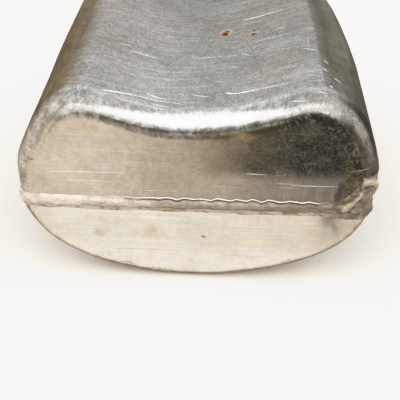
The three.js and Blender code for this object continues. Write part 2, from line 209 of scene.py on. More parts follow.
def crossing(z, level, right):
    """The ring parameter where height z passes the level, on the right or the left side."""
    i = np.arange(int(NS * .06), int(NS * .42)) if right else np.arange(int(NS * .58), int(NS * .94))[::-1]
    return float(np.interp(level, z[i], i / NS))


def sample(ring, s):
    q = (np.asarray(s, float) % 1.0) * NS
    i = np.floor(q).astype(int) % NS
    f = (q - np.floor(q))[:, None]
    return ring[i] * (1 - f) + ring[(i + 1) % NS] * f


# Dents, dings and lumps of the sheet: place, radii along x, y and z, and depth (negative goes in).
DENTS = [
    ((49.4, 0.0, 38.6), (1.8, 6.0, 3.9), -0.9),
    ((46.5, 0.0, 26.8), (4.5, 6.0, 4.0), -0.7),
    ((-58.5, 6.0, 34.0), (5.0, 8.0, 5.0), -0.35),
    ((24.0, 40.0, 70.0), (16.0, 18.0, 14.0), -0.35),
    ((-30.0, 64.0, 73.0), (14.0, 12.0, 12.0), -0.3),
    ((10.0, 88.0, 68.0), (20.0, 14.0, 12.0), -0.4),
    ((-10.0, 60.0, 0.0), (18.0, 20.0, 9.0), 0.0),
    ((36.0, 70.0, 5.0), (10.0, 12.0, 9.0), -0.5),
    ((-48.0, 96.0, 12.0), (9.0, 11.0, 9.0), -0.5),
    ((61.0, 84.0, 47.0), (8.0, 12.0, 9.0), -0.55),
    ((-61.0, 52.0, 30.0), (8.0, 14.0, 8.0), -0.35),
]


def form(p):
    """How far the worn sheet stands off the true shape, along its normal."""
    d = 0.16 * noise(p, 44, 1) + 0.07 * noise(p, 19, 2) + 0.022 * noise(p, 7, 3)
    near_rest = 1 - smooth(p[:, 2], 0.0, 6.0)          # it lies on this strip, so it stays true
    d = d * (1 - 0.9 * near_rest) - 0.02 * near_rest
    on_base = 1 - smooth(p[:, 1], 1.0, 9.0)
    d = d * (1 - 0.45 * on_base)
    d += on_base * 0.5 * (1 - smooth(np.abs(p[:, 0]), 10, 55)) * (1 - smooth(np.abs(p[:, 2] - 33), 6, 34)) * 0.6
    for (x, y, z), (rx, ry, rz), depth in DENTS:
        r2 = ((p[:, 0] - x) / rx) ** 2 + ((p[:, 1] - y) / ry) ** 2 + ((p[:, 2] - z) / rz) ** 2
        d += depth * np.exp(-1.6 * r2)
    # the bashed corner: a facet leans back above the climbing end of the bead
    facet = smooth(p[:, 0], 49.0, 50.6) * (1 - smooth(p[:, 2], 42.5, 45.5)) * smooth(p[:, 2], 31, 33) * (1 - smooth(p[:, 1], 1, 7))
    d -= facet * 0.14 * np.clip(p[:, 0] - 48.5, 0, 12)
    return np.clip(d, -3.0, 1.0)


def shell_grid(back, columns, base_rows):
    """Grid of positions and normals over one shell's outside: base rows from the seam, then the rings."""
    level = SEAM_Z + RIM if back else SEAM_Z - RIM
    pos, nrm = [], []
    q = np.linspace(0, 1, columns + 1)
    for p, n in ROWS:
        a, b = crossing(p[:, 2], level, True), crossing(p[:, 2], level, False)
        s = a + (b - a) * q if back else a + (b - 1.0 - a) * q
        pos.append(sample(p, s))
        nn = sample(n, s)
        nrm.append(nn / np.linalg.norm(nn, axis=1)[:, None])
    inner = pos[0]
    line = np.stack([inner[0, 0] + (inner[-1, 0] - inner[0, 0]) * q, np.zeros(columns + 1), np.full(columns + 1, level)], 1)
    steps = np.linspace(0, 1, base_rows + 1)[:-1]
    base = [line + (inner - line) * t for t in steps]
    down = np.tile([0.0, -1.0, 0.0], (columns + 1, 1))
    reach = np.linalg.norm(inner - line, axis=1)
    depth = np.array([reach * (1 - t) for t in steps] + [np.zeros(columns + 1)] * len(pos))
    return np.array(base + pos), np.array([down] * base_rows + nrm), depth


def to_frame(p):
    return (np.asarray(p, float).reshape(-1, 3) - [0, MID, 0]) * 0.001


def make_object(name, verts, faces, smooth_faces=True):
    mesh = bpy.data.meshes.new(name)
    mesh.from_pydata([tuple(v) for v in to_frame(verts)], [], [tuple(f) for f in faces])
    mesh.validate()
    mesh.update()
    if smooth_faces:
        mesh.polygons.foreach_set("use_smooth", [True] * len(mesh.polygons))
    ob = bpy.data.objects.new(name, mesh)
    bpy.context.scene.collection.objects.link(ob)
    return ob


def point_values(ob, name, values):
    a = ob.data.attributes.new(name, "FLOAT", "POINT")
    a.data.foreach_set("value", np.asarray(values, np.float32))


def colour_values(ob, name, rgb):
    a = ob.data.attributes.new(name, "FLOAT_COLOR", "POINT")
    a.data.foreach_set("color", np.column_stack([rgb, np.ones(len(rgb))]).astype(np.float32).ravel())


def between(at, stops):
    """Colours read off a short list of (place, colour)."""
    return np.stack([np.interp(at, [q[0] for q in stops], [q[1][k] for q in stops]) for k in range(3)], 1)


def blend(a, b, t):
    return a + (np.asarray(b) - a) * np.asarray(t)[:, None]


def strip(fine, coarse, ratio, flip):
    """Faces between a fine line of vertices and one with 1/ratio as many."""
    out = []
    for k in range(len(coarse) - 1):
        f = [fine[k * ratio + i] for i in range(ratio + 1)]
        h = ratio // 2
        for i in range(ratio):
            c = coarse[k] if i < h else coarse[k + 1]
            out.append((f[i], f[i + 1], c))
        out.append((coarse[k], f[h], coarse[k + 1]))
    return [t[::-1] for t in out] if flip else out


def grid_faces(idx, flip):
    a, b, c, d = idx[:-1, :-1], idx[:-1, 1:], idx[1:, 1:], idx[1:, :-1]
    quads = np.stack([a, b, c, d], -1).reshape(-1, 4)
    if flip:
        quads = quads[:, ::-1]
    out = []
    for f in quads.tolist():
        g = [v for i, v in enumerate(f) if v != f[i - 1]]
        if len(set(g)) > 2:
            out.append(g)
    return out


def build_shell(name, back, columns, base_rows, ratio=4):
    pos, nrm, depth = shell_grid(back, columns, base_rows)
    rows, cols = pos.shape[:2]
    extra = (-(rows - 1)) % ratio                       # the inner grid takes every ratio-th row, so the count fits it
    if extra:
        raise ValueError(f"{name}: {rows} rows need {extra} more")
    flat = pos.reshape(-1, 3)
    outer = flat + nrm.reshape(-1, 3) * form(flat)[:, None]
    inner_pick = (np.arange(0, rows, ratio)[:, None] * cols + np.arange(0, cols, ratio)[None, :])
    inner = flat[inner_pick.ravel()] + nrm.reshape(-1, 3)[inner_pick.ravel()] * (form(flat[inner_pick.ravel()]) - WALL)[:, None]
    idx = np.arange(rows * cols).reshape(rows, cols)
    idx[:base_rows, 0] = idx[base_rows, 0]
    idx[:base_rows, -1] = idx[base_rows, -1]
    ir, ic = inner_pick.shape
    jdx = np.arange(ir * ic).reshape(ir, ic) + rows * cols
    low = base_rows // ratio
    jdx[:low, 0] = jdx[low, 0]
    jdx[:low, -1] = jdx[low, -1]
    flip = back
    faces = grid_faces(idx, flip) + grid_faces(jdx, not flip)
    faces += strip(idx[0].tolist(), jdx[0].tolist(), ratio, not flip)
    faces += strip(idx[-1].tolist(), jdx[-1].tolist(), ratio, flip)
    faces += strip(idx[base_rows:, 0].tolist(), jdx[low:, 0].tolist(), ratio, flip)
    faces += strip(idx[base_rows:, -1].tolist(), jdx[low:, -1].tolist(), ratio, not flip)
    clean = []
    for f in faces:
        g = [v for i, v in enumerate(f) if v != f[i - 1]]
        if len(set(g)) == len(g) and len(g) > 2:
            clean.append(g)
    verts = np.vstack([outer, inner])
    used = np.unique(np.concatenate([np.array(f) for f in clean]))
    remap = np.full(len(verts), -1)
    remap[used] = np.arange(len(used))
    ob = make_object(name, verts[used], [[int(remap[v]) for v in f] for f in clean])
    pick = inner_pick.ravel()
    plain = np.vstack([flat, flat[pick]])[used]
    normals = nrm.reshape(-1, 3)
    normals = np.vstack([normals, normals[pick]])[used]
    depth = np.concatenate([depth.ravel(), depth.ravel()[pick]])[used]
    return ob, (plain, normals, depth)


shell_back, back_info = build_shell("shell_back", True, 288, 64)
shell_front, front_info = build_shell("shell_front", False, 240, 52)


# ------------------------------------------------------------------------------------------------------- weld bead
def seam_path():
    """Stations along the seam: (kind, ring number, ring parameter or x)."""
    out = []
    for k in range(len(ROWS) - 3, -1, -1):
        p = ROWS[k][0]
        out.append(("ring", k, crossing(p[:, 2], SEAM_Z, True)))
    xa = sample(ROWS[0][0], [out[-1][2]])[0, 0]
    left = crossing(ROWS[0][0][:, 2], SEAM_Z, False)
    xb = sample(ROWS[0][0], [left])[0, 0]
    steps = int((xa - xb) / 0.42)
    for x in np.linspace(xa, xb, steps + 1)[1:-1]:
        out.append(("base", 0, float(x)))
    for k in range(len(ROWS) - 2):
        p = ROWS[k][0]
        out.append(("ring", k, crossing(p[:, 2], SEAM_Z, False)))
    return out, xa, xb


def on_surface(kind, k, at, dz, xa, xb):
    """Point and normal of the surface at a station, moved dz up across the seam."""
    if kind == "base":
        near_a, near_b = smooth(at, xa - 5, xa), 1 - smooth(at, xb, xb + 5)
        ring = ROWS[0][0]
        pts = np.stack([np.full(len(dz), at), np.zeros(len(dz)), SEAM_Z + dz], 1)
        for near, right, x0 in ((near_a, True, xa), (near_b, False, xb)):
            if near > 0:
                i = np.arange(int(NS * .1), int(NS * .42)) if right else np.arange(int(NS * .58), int(NS * .9))[::-1]
                x = np.interp(SEAM_Z + dz, ring[i, 2], ring[i, 0])
                pts[:, 0] += near * (x - x0)
        return pts, np.tile([0.0, -1.0, 0.0], (len(dz), 1))
    p, n = ROWS[k]
    right = at < 0.5
    i = np.arange(int(NS * .06), int(NS * .44)) if right else np.arange(int(NS * .56), int(NS * .94))[::-1]
    s = np.interp(SEAM_Z + dz, p[i, 2], i / NS)
    return sample(p, s), sample(n, s)


def build_bead():
    path, xa, xb = seam_path()
    w = np.concatenate([np.linspace(-1, 0, 15)[:-1], np.linspace(0, 1, 27)])
    across = len(w)
    cen = np.array([on_surface(kind, k, at, np.zeros(1), xa, xb)[0][0] for kind, k, at in path])
    sig = np.concatenate([[0], np.cumsum(np.linalg.norm(np.diff(cen, axis=0), axis=1))])
    line = np.stack([sig, np.zeros(len(sig)), np.zeros(len(sig))], 1)
    on_base = 1 - smooth(cen[:, 1], 1.5, 12)
    # at the bashed corner the bead climbs the base's right end, then comes back down on the side
    lift = np.where(cen[:, 1] < 0.01, smooth(cen[:, 0], 46.8, 59.5), (cen[:, 0] > 0) * (1 - smooth(cen[:, 1], 0, 15)) * 0.985)
    rough_end = np.where(cen[:, 1] < 0.01, smooth(cen[:, 0], 41, 52), (cen[:, 0] > 0) * (1 - smooth(cen[:, 1], 3, 22)))
    x = np.where(on_base > 0.5, cen[:, 0], 60 * np.sign(cen[:, 0]))
    saw = (sig / 6.2 + 0.30 * noise(line, 11, 21)) % 1.0
    saw = np.where(saw < 0.62, saw / 0.62, (1 - saw) / 0.38) - 0.5
    torn = on_base * smooth(x, -46, -6) * (1 - smooth(x, 38, 47))
    upper = 2.45 + 0.55 * smooth(x, -40, 5) - 0.30 * smooth(x, 25, 45) + torn * (0.62 * saw + 0.25 * noise(line, 2.6, 22)) + 0.16 * noise(line, 1.2, 23)
    upper = upper + 10.4 * lift
    lower = 3.15 + 0.32 * noise(line, 7, 24) + 0.22 * noise(line, 1.9, 25) + 1.0 * rough_end
    lip_high = (0.16 + 0.44 * torn * (0.55 + 0.45 * smooth(x, -12, 4)) * (0.6 + 0.4 * smooth(noise(line, 5, 32), -0.3, 0.2)))
    ripple = 0.08 * np.sin(sig * 2 * math.pi / 2.7 + 1.6 * noise(line, 8, 26)) + 0.10 * noise(line, 4.5, 27)
    hue = between(x, [(-60, (.66, .61, .545)), (-30, (.64, .585, .52)), (-8, (.335, .295, .245)), (20, (.28, .245, .20)), (42, (.20, .17, .135)), (60, (.235, .20, .14))])
    grid, low, zone, shade, ridge, tone, hot = [], [], [], [], [], [], []
    for j, (kind, k, at) in enumerate(path):
        dz = np.where(w < 0, w * lower[j], w * upper[j])
        p, n = on_surface(kind, k, at, dz, xa, xb)
        q = np.stack([np.full(across, sig[j]), dz, np.zeros(across)], 1)
        c0 = 0.35 * (1 - lift[j]) + (upper[j] - 2.3) * lift[j]
        half = 1.18 + 0.45 * (1 - torn[j]) * (1 - rough_end[j]) + 0.25 * lift[j]
        band = 1.08 * np.exp(-np.abs((dz - c0) / half) ** 2.8)
        lip = lip_high[j] * np.exp(-((dz - (upper[j] - 0.34)) / 0.26) ** 2)
        shelf = 0.42 * smooth(dz, -lower[j], -lower[j] + 0.5) * (1 - smooth(dz, -1.0, -0.3)) * (1 + 0.9 * noise(q, (1.9, 0.9, 1), 33))
        body = 0.12 + 0.25 * rough_end[j]
        lumps = rough_end[j] * (0.60 * noise(q, (4.8, 3.2, 1), 30) + 0.46 * noise(q, (2.0, 1.5, 1), 31)) * (1 - np.exp(-np.abs((dz - c0) / 1.6) ** 4) * smooth(lift[j], 0.02, 0.3))
        second = 0.5 * rough_end[j] * np.exp(-((dz - (c0 - 3.3 - 0.3 * saw[j])) / 0.42) ** 2) * smooth(upper[j], 4.0, 6.5)
        grain = 0.09 * noise(q, (2.2, 1.3, 1), 28) + 0.06 * noise(q, (0.9, 0.6, 1), 29)
        envelope = 1 - np.abs(w) ** 14
        h = np.maximum(np.maximum(band, lip), np.maximum(shelf, body)) + second + (ripple[j] + grain) * (1 - np.abs(w) ** 4) + lumps
        h = np.clip(h * envelope, 0.04, 2.0)
        h[0] = h[-1] = -0.25
        grid.append(p + n * (h + form(p))[:, None])
        # where each strip of the bead lies: 1 dark gap (painted shade in the groove), 2 brown line, 3 flaky foot, 0 the
        # bright bead and its lip
        gap = np.exp(-((dz - (upper[j] - 0.95)) / 0.36) ** 2) * (0.25 + 0.75 * torn[j]) * (1 - lift[j])
        gap = np.maximum(gap, 0.9 * rough_end[j] * np.exp(-((dz - (c0 - 2.0)) / 0.55) ** 2) * smooth(upper[j], 3.8, 5.5))
        foot = 1 - smooth(dz, -1.55, -0.85 - 0.5 * (1 - torn[j]))
        foot = np.maximum(foot, rough_end[j] * (1 - smooth(dz - c0, -2.4, -1.5)))
        zone.append(gap)
        shade.append(foot)
        ridge.append(np.exp(-((dz - (upper[j] - 0.34)) / 0.30) ** 2) * (0.25 + 0.75 * torn[j]) + 0.8 * lift[j] * np.exp(-((dz - (c0 - 1.25)) / 0.30) ** 2))
        climbs = np.exp(-np.abs((dz - c0) / 1.35) ** 3) * smooth(lift[j], 0.02, 0.2)
        hot.append(rough_end[j] * (1 - 0.92 * climbs))
        tone.append(blend(np.tile(hue[j], (across, 1)), (.50, .435, .33), climbs) * (1 + 0.16 * noise(q, (9, 0.7, 1), 34) + 0.12 * noise(q, (3, 1.4, 1), 35))[:, None])
        d = np.array([0.55, -0.55]) * np.array([upper[j], lower[j]])
        pl, nl = on_surface(kind, k, at, d, xa, xb)
        low.append(pl + nl * (form(pl) - 1.05)[:, None])
    rings = np.concatenate([np.array(grid), np.array(low)], 1)
    rows, cols = rings.shape[:2]
    verts = rings.reshape(-1, 3)
    idx = np.arange(rows * cols).reshape(rows, cols)
    idx = np.concatenate([idx, idx[:, :1]], 1)
    faces = grid_faces(idx, True)
    faces.append(list(range(cols))[::-1])
    faces.append(list(range((rows - 1) * cols, rows * cols)))
    ob = make_object("weld_bead", verts, faces)
    pad = np.zeros((rows, 2))
    point_values(ob, "gap", np.concatenate([np.array(zone), pad], 1).ravel())
    point_values(ob, "foot", np.concatenate([np.array(shade), pad], 1).ravel())
    point_values(ob, "lip", np.concatenate([np.array(ridge), pad], 1).ravel())
    point_values(ob, "burnt", np.concatenate([np.array(hot), pad], 1).ravel())
    colour_values(ob, "tone", np.concatenate([np.array(tone), np.repeat(hue[:, None, :], 2, 1)], 1).reshape(-1, 3))
    return ob


weld_bead = build_bead()
bpy.context.view_layer.update()


# ------------------------------------------------------------------------------------ turned pieces, pins and wire
def fillet(points, radii, steps=4, closed=True):
    """Rounds the corners of a polygon in the (r, y) plane."""
    out, n = [], len(points)
    for i in range(n):
        p = np.array(points[i], float)
        r = radii[i] if hasattr(radii, "__len__") else radii
        if (not closed and i in (0, n - 1)) or r <= 0:
            out.append(tuple(p))
            continue
        a, b = np.array(points[i - 1], float) - p, np.array(points[(i + 1) % n], float) - p
        la, lb = np.linalg.norm(a), np.linalg.norm(b)
        if la < 1e-6 or lb < 1e-6:
            out.append(tuple(p))
            continue
        a, b = a / la, b / lb
        ang = math.acos(float(np.clip(a @ b, -1, 1)))
        cut = min(r / max(math.tan(ang / 2), 1e-3), 0.46 * la, 0.46 * lb)
        for t in np.linspace(0, 1, steps + 1):
            out.append(tuple((1 - t) ** 2 * (p + a * cut) + 2 * t * (1 - t) * p + t ** 2 * (p + b * cut)))
    return out


def fine(points, step):
    """Adds points so that no side of the closed polygon is longer than step."""
    out = []
    for i, p in enumerate(points):
        q = points[(i + 1) % len(points)]
        n = max(1, math.ceil(math.hypot(q[0] - p[0], q[1] - p[1]) / step))
        out += [(p[0] + (q[0] - p[0]) * k / n, p[1] + (q[1] - p[1]) * k / n) for k in range(n)]
    return out


def lathe(name, profile, segments, shape=None):
    """Closed profile of (r, y) turned about the spout's axis. shape(r, y, angle) may move a point's radius."""
    prof = np.array(profile, float)
    ang = np.linspace(0, 2 * math.pi, segments, endpoint=False)
    area = 0.5 * np.sum(prof[:, 0] * np.roll(prof[:, 1], -1) - np.roll(prof[:, 0], -1) * prof[:, 1])
    if area < 0:
        prof = prof[::-1]
    r, y = np.repeat(prof[None, :, 0], segments, 0), np.repeat(prof[None, :, 1], segments, 0)
    a = np.repeat(ang[:, None], len(prof), 1)
    if shape:
        r, y = shape(r, y, a)
    pts = np.stack([r * np.sin(a), y, AXIS_Z + r * np.cos(a)], -1)
    idx = np.arange(segments * len(prof)).reshape(segments, len(prof))
    on_axis = prof[:, 0] < 1e-6
    for j in np.where(on_axis)[0]:
        idx[:, j] = idx[0, j]
    idx = np.concatenate([idx, idx[:1]], 0)
    idx = np.concatenate([idx, idx[:, :1]], 1)
    faces = grid_faces(idx, True)
    faces = [f for f in faces if len(set(f)) == len(f)]
    verts = pts.reshape(-1, 3)
    used = np.unique(np.concatenate([np.array(f) for f in faces]))
    remap = np.full(len(verts), -1)
    remap[used] = np.arange(len(used))
    return make_object(name, verts[used], [[int(remap[v]) for v in f] for f in faces])


def sweep(name, path, radius, sides=16, closed=False, flat=None):
    """Round wire along a path of points, with rounded ends if it is open."""
    path = np.array(path, float)
    n = len(path)
    tan = (np.roll(path, -1, 0) - np.roll(path, 1, 0)) if closed else np.gradient(path, axis=0)
    tan /= np.linalg.norm(tan, axis=1)[:, None]
    up = np.array(flat if flat is not None else [0.0, 0.0, 1.0])
    radii = np.full(n, float(radius)) if np.isscalar(radius) else np.array(radius, float)
    rings = []
    for i in range(n):
        side = np.cross(tan[i], up)
        if np.linalg.norm(side) < 1e-4:
            side = np.cross(tan[i], up + [0.01, 0.02, 0.0])
        side /= np.linalg.norm(side)
        other = np.cross(side, tan[i])
        a = np.linspace(0, 2 * math.pi, sides, endpoint=False)
        rings.append(path[i] + radii[i] * (np.cos(a)[:, None] * side + np.sin(a)[:, None] * other))
    verts = np.concatenate(rings)
    idx = np.arange(n * sides).reshape(n, sides)
    idx = np.concatenate([idx, idx[:, :1]], 1)
    if closed:
        idx = np.concatenate([idx, idx[:1]], 0)
    faces = grid_faces(idx, False)
    if not closed:
        faces.append(list(range(sides)))
        faces.append(list(range((n - 1) * sides, n * sides))[::-1])
    return make_object(name, verts, faces)


def join(name, parts):
    """Joins objects made here into the first one."""
    for o in bpy.context.view_layer.objects:
        o.select_set(False)
    for o in parts:
        o.select_set(True)
    bpy.context.view_layer.objects.active = parts[0]
    bpy.ops.object.join()
    parts[0].name = parts[0].data.name = name
    parts[0].select_set(False)
    return parts[0]


def helix(name, root_r, crest_r, y0, turns, pitch, root_half, crest_half, steps=120):
    rings = []
    for k in range(steps + 1):
        a = 2 * math.pi * turns * k / steps
        y = y0 + pitch * turns * k / steps
        f = min(1, (k + 0.6) / 14, (steps - k + 0.6) / 14)
        r, c = root_r + (crest_r - root_r) * f, root_half + (crest_half - root_half) * f
        prof = fillet([(root_r, y - root_half), (r, y - c), (r, y + c), (root_r, y + root_half)], [0, .25, .25, 0], 3)
        rings.append([[q * math.sin(a), yy, AXIS_Z + q * math.cos(a)] for q, yy in prof])
    m = len(rings[0])
    idx = np.arange((steps + 1) * m).reshape(steps + 1, m)
    idx = np.concatenate([idx, idx[:, :1]], 1)
    inward = crest_r < root_r
    faces = grid_faces(idx, not inward)
    ends = [list(range(m)), list(range(steps * m, (steps + 1) * m))]
    faces += [ends[0][::-1] if inward else ends[0], ends[1] if inward else ends[1][::-1]]
    return make_object(name, np.array(rings).reshape(-1, 3), faces)


PITCH = 4.2
RIM_Y = TOP_Y + 19
CAP_R, CAP_LOW, CAP_TOP = 18.5, TOP_Y + 3.8, TOP_Y + 25.2

spout_tube = lathe("neck", fine(fillet([
    (11.3, TOP_Y - 3.4), (14.0, TOP_Y - 3.4), (14.0, TOP_Y + 4.2), (13.2, TOP_Y + 5.2), (13.2, RIM_Y - 0.6),
    (12.6, RIM_Y), (11.3, RIM_Y)], [.3, .3, .4, .4, .3, .3, .3]), 1.2), 120)
neck = join("neck", [spout_tube, helix("neck_thread", 12.95, 14.8, TOP_Y + 7.6, 1.0, PITCH, 1.1, 0.45)])


def weld_lumps(r, y, a):
    q = np.stack([18 * a, r, y], -1).reshape(-1, 3)
    wave = 0.16 * np.sin(a * 37 + 1.1 * np.sin(a * 5)) + 0.14 * noise(q, 3.2, 41).reshape(r.shape) + 0.10 * noise(q, 1.3, 42).reshape(r.shape)
    edge = smooth(r, 14.6, 15.6)
    return r + wave * edge * 0.9, y + wave * edge * (y > TOP_Y + 0.5)


neck_weld = lathe("neck_weld", fine(fillet([
    (14.1, TOP_Y + 0.1), (18.0, TOP_Y + 0.1), (17.6, TOP_Y + 1.4), (16.4, TOP_Y + 2.6), (14.1, TOP_Y + 3.2)],
    [.1, .3, .8, .8, .3]), 0.45), 300, weld_lumps)


def knurl(r, y, a):
    band = smooth(y, CAP_LOW + 1.6, CAP_LOW + 2.4) * (1 - smooth(y, CAP_TOP - 4.2, CAP_TOP - 3.4))
    skirt = smooth(r, CAP_R - 0.3, CAP_R - 0.05)
    tooth = 0.5 - 0.5 * np.cos(a * 64)
    worn = 0.75 + 0.25 * noise(np.stack([a * 18, y, r], -1).reshape(-1, 3), 6, 51).reshape(r.shape)
    return r - 0.55 * band * skirt * tooth ** 1.4 * worn - 0.03, y


cap_shell = lathe("cap_shell", fine(fillet([
    (15.4, CAP_LOW), (CAP_R - 0.5, CAP_LOW), (CAP_R, CAP_LOW + 0.6), (CAP_R, CAP_TOP - 2.4), (CAP_R - 0.8, CAP_TOP - 0.7),
    (CAP_R - 2.6, CAP_TOP - 0.12), (6.2, CAP_TOP - 0.25), (5.6, CAP_TOP - 0.02), (2.9, CAP_TOP - 0.02), (2.9, TOP_Y + 22.2), (15.4, TOP_Y + 22.2)],
    [.3, .3, .4, 1.2, 1.0, 1.0, .3, .3, .2, .2, .5]), 0.8), 512, knurl)
screw_cap = join("screw_cap", [cap_shell, helix("cap_thread", 15.65, 13.7, TOP_Y + 7.6 - PITCH / 2, 1.0, PITCH, 1.1, 0.45)])

cork_disc = lathe("cork_disc", fine(fillet([
    (2.9, RIM_Y + 0.3), (14.9, RIM_Y + 0.3), (14.9, TOP_Y + 21.9), (2.9, TOP_Y + 21.9)], .5), 0.9), 120)
cork_plate = lathe("cork_plate", fine(fillet([
    (2.9, RIM_Y - 1.4), (10, RIM_Y - 1.4), (10.4, RIM_Y - 1), (10.4, RIM_Y), (2.9, RIM_Y)], .2), 0.9), 96)
rivet_washer = lathe("rivet_washer", fine(fillet([
    (2.9, RIM_Y - 2.6), (5.5, RIM_Y - 2.6), (5.5, RIM_Y - 1.7), (2.9, RIM_Y - 1.7)], .2), 0.7), 72)

EYE_Y, EYE_R, EYE_WIRE, EYE_TURN = TOP_Y + 32.2, 3.6, 1.0, math.radians(33)
stem = lathe("swivel_pin", fillet([
    (0, RIM_Y - 4.3), (3, RIM_Y - 4.3), (4.1, RIM_Y - 3.8), (4.1, RIM_Y - 2.9), (2.5, RIM_Y - 2.9), (2.5, RIM_Y + 6.5),
    (4.3, RIM_Y + 6.5), (4.3, RIM_Y + 7.4), (2.5, RIM_Y + 7.9), (2.0, RIM_Y + 10.1), (0, RIM_Y + 10.1)],
    [0, .6, .4, .2, .2, .3, .3, .3, .6, .4, 0]), 64)
_a = np.linspace(0, 2 * math.pi, 72, endpoint=False)
eye_path = np.stack([EYE_R * np.cos(_a), EYE_Y + EYE_R * np.sin(_a), np.zeros(72)], 1)
_c, _s = math.cos(EYE_TURN), math.sin(EYE_TURN)
eye_path = np.stack([eye_path[:, 0] * _c, eye_path[:, 1], AXIS_Z - eye_path[:, 0] * _s], 1)
eye = sweep("pin_eye", eye_path, EYE_WIRE, 16, closed=True, flat=[_s, 0, _c])
swivel_pin = join("swivel_pin", [stem, eye])

# bracket: a strap welded to the shoulder and a wire bar bent over it
SEAT = np.array([30.0, 150.194, 40.0])
B_NORMAL = np.array([0.217673, 0.974418, 0.055930])
B_BAR = np.array([-0.971889, 0.221663, -0.079356])
B_ACROSS = np.array([0.089724, 0.037084, -0.995276])


def on_seat(p):
    p = np.asarray(p, float).reshape(-1, 3)
    return SEAT + p[:, :1] * B_BAR + p[:, 1:2] * B_NORMAL + p[:, 2:3] * B_ACROSS


def plate(name, half_u, half_w, top, bottom, corner, nu=40, nw=20):
    """Strap with rounded corners and edges, bowed to lie on the shoulder."""
    u, w = np.meshgrid(np.linspace(-1, 1, nu), np.linspace(-1, 1, nw), indexing="ij")
    # squircle map keeps a grid while rounding the corners
    k = corner
    x = u * (1 - k * 0.5 * w ** 2 * np.abs(u)) * half_u
    z = w * (1 - k * 0.5 * u ** 2 * np.abs(w)) * half_w
    rim = np.maximum(np.abs(u) ** 6, np.abs(w) ** 6)
    bow = -0.020 * x ** 2 * 0.6 - 0.012 * z ** 2
    y = top - 0.35 * rim + bow + 0.10 * np.exp(-((np.abs(u) - 0.78) / 0.1) ** 2 - (w / 0.35) ** 2) * -3.0
    upper = np.stack([x, y, z], -1)
    under = np.stack([x, np.full_like(y, bottom) + bow, z], -1)
    pts = np.concatenate([upper.reshape(-1, 3), under.reshape(-1, 3)])
    a = np.arange(nu * nw).reshape(nu, nw)
    b = a + nu * nw
    faces = grid_faces(a, True) + grid_faces(b, False)
    edge = np.concatenate([a[:, 0], a[-1, 1:], a[-2::-1, -1], a[0, -2:0:-1]])
    edge_b = edge + nu * nw
    for i in range(len(edge)):
        j = (i + 1) % len(edge)
        faces.append([int(edge[i]), int(edge[j]), int(edge_b[j]), int(edge_b[i])])
    return make_object(name, on_seat(pts), faces)


foot = plate("chain_strap", 8.0, 3.5, 1.15, -1.6, 0.18)
bar_w, bar_top = 3.9, 5.4
bend = [(-bar_w - 0.2, 0.3), (-bar_w, bar_top - 1.9)]
bend += [(-bar_w + 1.9 - 1.9 * math.cos(t), bar_top - 1.9 + 1.9 * math.sin(t)) for t in np.linspace(0.1, math.pi / 2, 9)]
bend += [(bar_w - 1.9 + 1.9 * math.sin(t), bar_top - 1.9 + 1.9 * math.cos(t)) for t in np.linspace(0, math.pi / 2 - 0.1, 9)]
bend += [(bar_w, bar_top - 1.9), (bar_w + 0.2, 0.3)]
bend = np.array(bend)
_d = np.concatenate([[0], np.cumsum(np.hypot(*np.diff(bend, axis=0).T))])
_f = np.linspace(0, _d[-1], 60)
bend = np.stack([np.interp(_f, _d, bend[:, 0]), np.interp(_f, _d, bend[:, 1]), np.zeros(60)], 1)
wire = sweep("chain_wire", on_seat(bend), np.where((_f < 1.6) | (_f > _d[-1] - 1.6), 1.18, 1.0), 16, flat=B_ACROSS.tolist())
chain_strap = join("chain_strap", [foot, wire])


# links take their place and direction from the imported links
def link_from(node, name):
    co = np.array([v.co[:] for v in frame["nodes"][node].data.vertices], float)
    uniq = np.unique(np.round(co, 7), axis=0)
    centre = (uniq.max(0) + uniq.min(0)) / 2
    centre = uniq.mean(0)
    _, _, axes = np.linalg.svd(uniq - centre, full_matrices=False)
    d, t, n = axes
    t = np.cross(n, d)
    s, r = 4.2, 2.6
    arc = math.pi * r
    total = 2 * (s + arc)
    out = []
    for q in np.linspace(0, total, 64, endpoint=False):
        if q < s:
            p = (q - s / 2, -r)
        elif q < s + arc:
            g = (q - s) / r
            p = (s / 2 + r * math.sin(g), -r * math.cos(g))
        elif q < 2 * s + arc:
            p = (s / 2 - (q - s - arc), r)
        else:
            g = (q - 2 * s - arc) / r
            p = (-s / 2 - r * math.sin(g), r * math.cos(g))
        out.append(centre * 1000 + [0, MID, 0] + p[0] * d + p[1] * t)
    path = np.array(out)
    g = np.arange(64) / 64
    rad = 0.74 + 0.05 * np.exp(-((g - 0.035) / 0.012) ** 2)
    return sweep(name, path, rad, 12, closed=True, flat=n.tolist())


links = [link_from(f"chain_link_{i:02d}", f"wire_link_{i:02d}") for i in range(1, 10)]


